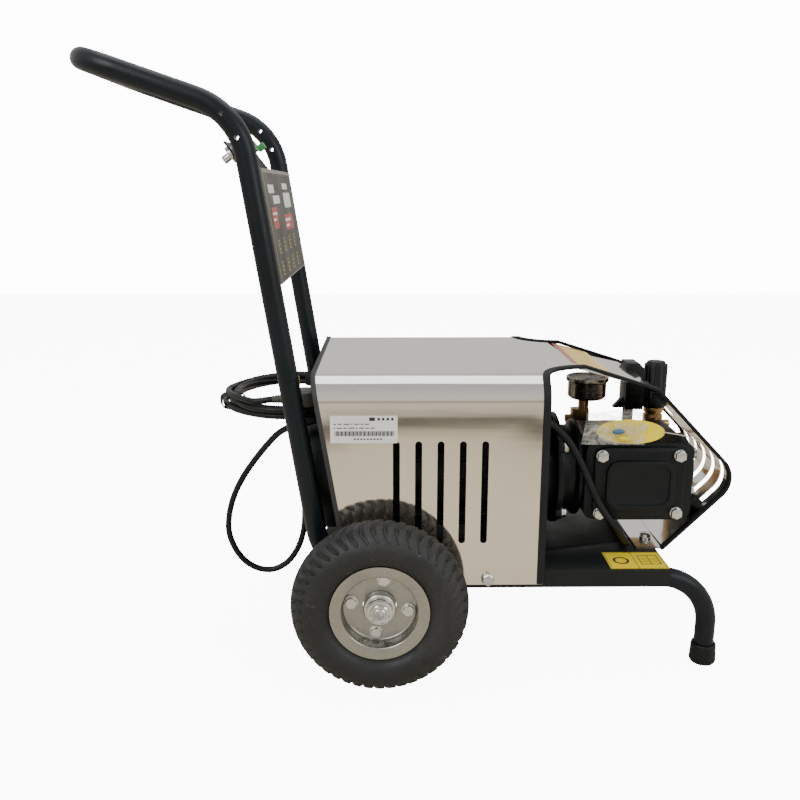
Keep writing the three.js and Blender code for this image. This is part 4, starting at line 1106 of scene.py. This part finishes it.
TRAY_Z = 137
thin("tray_label", [(295, 370, -157, -106)], on_tray, YELLOW)
frame_lines = [(296, 369, -156.4, -155.6), (296, 369, -107.4, -106.6), (296, 296.8, -156, -107),
    (368.2, 369, -156, -107), (331.6, 332.4, -156, -107)]
book = [(338, 364, y, y + 1.4) for y in (-144, -118.4)]
book += [(x, x + 1.2, -144, -117) for x in (338, 362.8, 350.4)]
book += [(x, x + 7.6, y, y + 1) for x in (341, 353.4) for y in (-126, -131, -136)]
thin("tray_label_lines", frame_lines + book, on_tray, INK, 0.31, 0.4)
bm = bmesh.new()
add_lathe(bm, [(7.5, 0.31), (10.5, 0.31), (10.5, 0.4), (7.5, 0.4)], P(314, -132, TRAY_Z), UP, 40)
place(mesh_of("tray_label_ring", bm, INK))

PANEL_FACE_X = 12.9


def on_panel(a, b, d):
    """a is Y, b is the height Z; the panel's front leans back with the uprights."""
    cs, sn = cos(lean_angle), sin(lean_angle)
    along = (b - (PANEL_FACE_X + d) * sn) / cs
    return P(UPRIGHT_X0 + (PANEL_FACE_X + d) * cs - along * sn, a, b)


thin("panel_field", [(-127, 127, 499, 627)], on_panel, PANEL_FACE, 0.04, 0.2)
thin("panel_white_marks", [
    (-112, -61, 603, 613), (26, 79, 607.5, 615.5), (-83, -22, 590, 600), (21, 94, 583.5, 603),
    (-108, -70, 577, 580), (-108, -84, 570, 573), (4, 60, 566, 570),
    (4, 40, 559, 562.5)], on_panel, WHITE, 0.36, 0.5)
thin("panel_red_marks", [(-112, -65, 560.5, 586), (-2, 86, 555, 575)], on_panel, RED, 0.22, 0.35)
icons = [(-108 + 54 * i, -88 + 54 * i, z, z + 16) for i in range(4) for z in (505, 531)]
strokes = []
for a0, a1, b0, b1 in icons:
    strokes.append((a0 + 5, a0 + 7, b0, b1))
    strokes += [(a0 + 7, a1 - 2 - 2 * (k % 2), b0 + 5 * k, b0 + 1.4 + 5 * k) for k in range(4)]
thin("panel_icons", strokes, on_panel, PANEL_YELLOW, 0.22, 0.35)

# ---- loose bag, caps and tag on the pump
def film_bag():
    """A film bag that lies over the pump's top edge and hangs down in front of the tag."""
    left = [Vector(p) for p in ((276, -60, 317), (262, -111, 311), (256, -121, 292))]
    right = [Vector(p) for p in ((349, -59, 324), (341, -112, 315), (337, -121, 291))]
    nu, nv, fold = 34, 26, 0.62

    def along(edge, v):
        if v < fold:
            return edge[0].lerp(edge[1], v / fold)
        return edge[1].lerp(edge[2], (v - fold) / (1 - fold))

    bm = bmesh.new()
    layers = []
    for sign in (1, -1):
        rows = []
        for j in range(nv + 1):
            row = []
            for i in range(nu + 1):
                u, v = i / nu, j / nv
                p = along(left, v).lerp(along(right, v), u)
                puff = (sin(pi * u) * sin(pi * v)) ** 0.6
                crumple = noise.noise(V(u * 5.5, v * 4.2, 2.3)) * 2.0
                hang = ease(v, fold - 0.12, fold + 0.12)
                n = V(0, -0.2, 0.98).lerp(V(0, -0.96, 0.28), hang)
                lift = sign * puff * (4.0 - 2.9 * hang) + crumple * (0.3 + 0.4 * puff) * (1 - 0.5 * hang)
                if sign < 0 and (i in (0, nu) or j in (0, nv)):
                    row.append(layers[0][j][i])
                else:
                    row.append(bm.verts.new(P(*(p + n * lift))))
            rows.append(row)
        layers.append(rows)
    for rows in layers:
        add_grid(bm, rows)
    place(mesh_of("film_bag", bm, BAG_FILM, 60))


film_bag()
cap_shape = [(3.5 * sin(pi * k / 16), -8 * cos(pi * k / 16)) for k in range(17)]
cap_shape[0], cap_shape[-1] = (0, -8), (0, 8)
place(lathe("loose_cap_blue", cap_shape, P(304, -118.5, 308), (1, 0, 0.05), BLUE_CAP, 32))
place(lathe("loose_cap_yellow", cap_shape, P(311, -120.5, 299), (1, 0, -0.08), YELLOW_CAP, 32))
dipstick = softened([(0, 0), (11, 0), (11, 3.6), (8, 5), (0, 5)], 0.6)
place(lathe("dipstick_cap", dipstick, P(300, -70, 303.6), UP, TAN, 40))


def tag():
    """A plain oval tag leaning behind the bag, tied by a string to one of the bearing cap's bolts."""
    centre = V(322, -109.5, 305.4)
    across = V(1, 0, -0.012).normalized()
    up = V(0, 0.32, 0.95).normalized()
    out = across.cross(up).normalized()
    bm = bmesh.new()
    add_prism(bm, ellipse(44, 15.6, 48),
              lambda a, b, d: P(*(centre + across * a + up * b + out * d)), -0.5, 0.5)
    place(mesh_of("oval_tag", bm, TAG))
    hole = centre + across * 41
    pts = [(421.5, -63, 268), (424, -71, 273), (423, -82, 280), (417, -95, 287), (409, -105, 292.5),
           (399, -109.5, 297.5), (386, -111.6, 301.3), (374, -112.2, 303.6), tuple(hole + out * 1.2)]
    line = spline([P(*p) for p in pts], 5)
    cord = place(cord_curve("tag_string", line, STRING_R * MM, STRING))


tag()

# ---- floor, light and surroundings
bm = bmesh.new()
add_grid(bm, [[bm.verts.new((x, y, -0.0004)) for x in range(-4, 5)] for y in range(-4, 5)])
ground = Mat("studio_floor", (0.93, 0.93, 0.93), 0.75)
pale = ground.mix(ground.span(ground.noise(3, 3), 0.3, 0.7), (0.93, 0.93, 0.93), (0.95, 0.95, 0.945))
seen = ground.node("LightPath").outputs["Is Camera Ray"]
where = ground.node("SeparateXYZ")
ground.link(ground.co, where.inputs[0])
near = ground.span(where.outputs["Y"], -2.0, -0.8)
# The camera sees a pale floor; the object reflects a warm one with a dark band: a painted reflection laid out
# along Y for the steel sides to mirror.
painted_reflection_floor = ground.ramp(near, [
    (0.0, (0.62, 0.58, 0.52)), (0.2, (0.5, 0.45, 0.38)), (0.28, (0.07, 0.062, 0.05)),
    (0.42, (0.08, 0.07, 0.057)), (0.5, (0.32, 0.285, 0.225)), (0.62, (0.54, 0.49, 0.40)),
    (1.0, (0.62, 0.56, 0.46))])
ground.color(ground.mix(seen, painted_reflection_floor, pale))
put(ground.b, Emission_Color=(1, 1, 1, 1))
ground.link(ground.span(seen, 0, 1, 0.0, 10.0), ground.b.inputs["Emission Strength"])
mesh_of("studio_floor", bm, ground.m)


def softbox(name, at, size, power):
    """A square light aimed at the middle of the machine."""
    data = bpy.data.lights.new(name, "AREA")
    data.shape = "RECTANGLE"
    data.size = data.size_y = size
    data.energy = power
    o = add_object(name, data)
    o.location = at
    o.rotation_euler = (V(0, 0, 0.3) - Vector(at)).to_track_quat("-Z", "Y").to_euler()


softbox("key_softbox", (-1.5, -1.9, 2.1), 1.5, 42)
softbox("fill_softbox", (2.0, -1.5, 1.5), 1.4, 24)
softbox("top_softbox", (0.1, 0.5, 2.6), 2.2, 34)

world = bpy.data.worlds.new("studio")
bpy.context.scene.world = world
world.use_nodes = True
sky = Tree(world.node_tree)
sky.t.nodes.clear()
to_camera, to_object = (sky.node("Background") for _ in range(2))
put(to_camera, Color=(1, 1, 1, 1), Strength=14.0)
put(to_object, Strength=0.85)
mixer = sky.node("MixShader")
sky.link(sky.node("LightPath").outputs["Is Camera Ray"], mixer.inputs[0])
sky.link(to_object.outputs[0], mixer.inputs[1])
sky.link(to_camera.outputs[0], mixer.inputs[2])
sky.link(mixer.outputs[0], sky.node("OutputWorld").inputs["Surface"])
height = sky.node("SeparateXYZ")
sky.link(sky.node("TexCoord").outputs["Generated"], height.inputs[0])
bands = sky.ramp(sky.span(height.outputs["Z"], -1, 1), [
    (0.0, (0.62, 0.55, 0.45)), (0.48, (0.62, 0.57, 0.49)), (0.52, (0.95, 0.91, 0.82)),
    (0.62, (1.0, 0.985, 0.955)), (0.70, (0.95, 0.945, 0.93)), (1.0, (0.72, 0.72, 0.72))])
sky.link(bands, to_object.inputs["Color"])

bpy.context.view_layer.update()
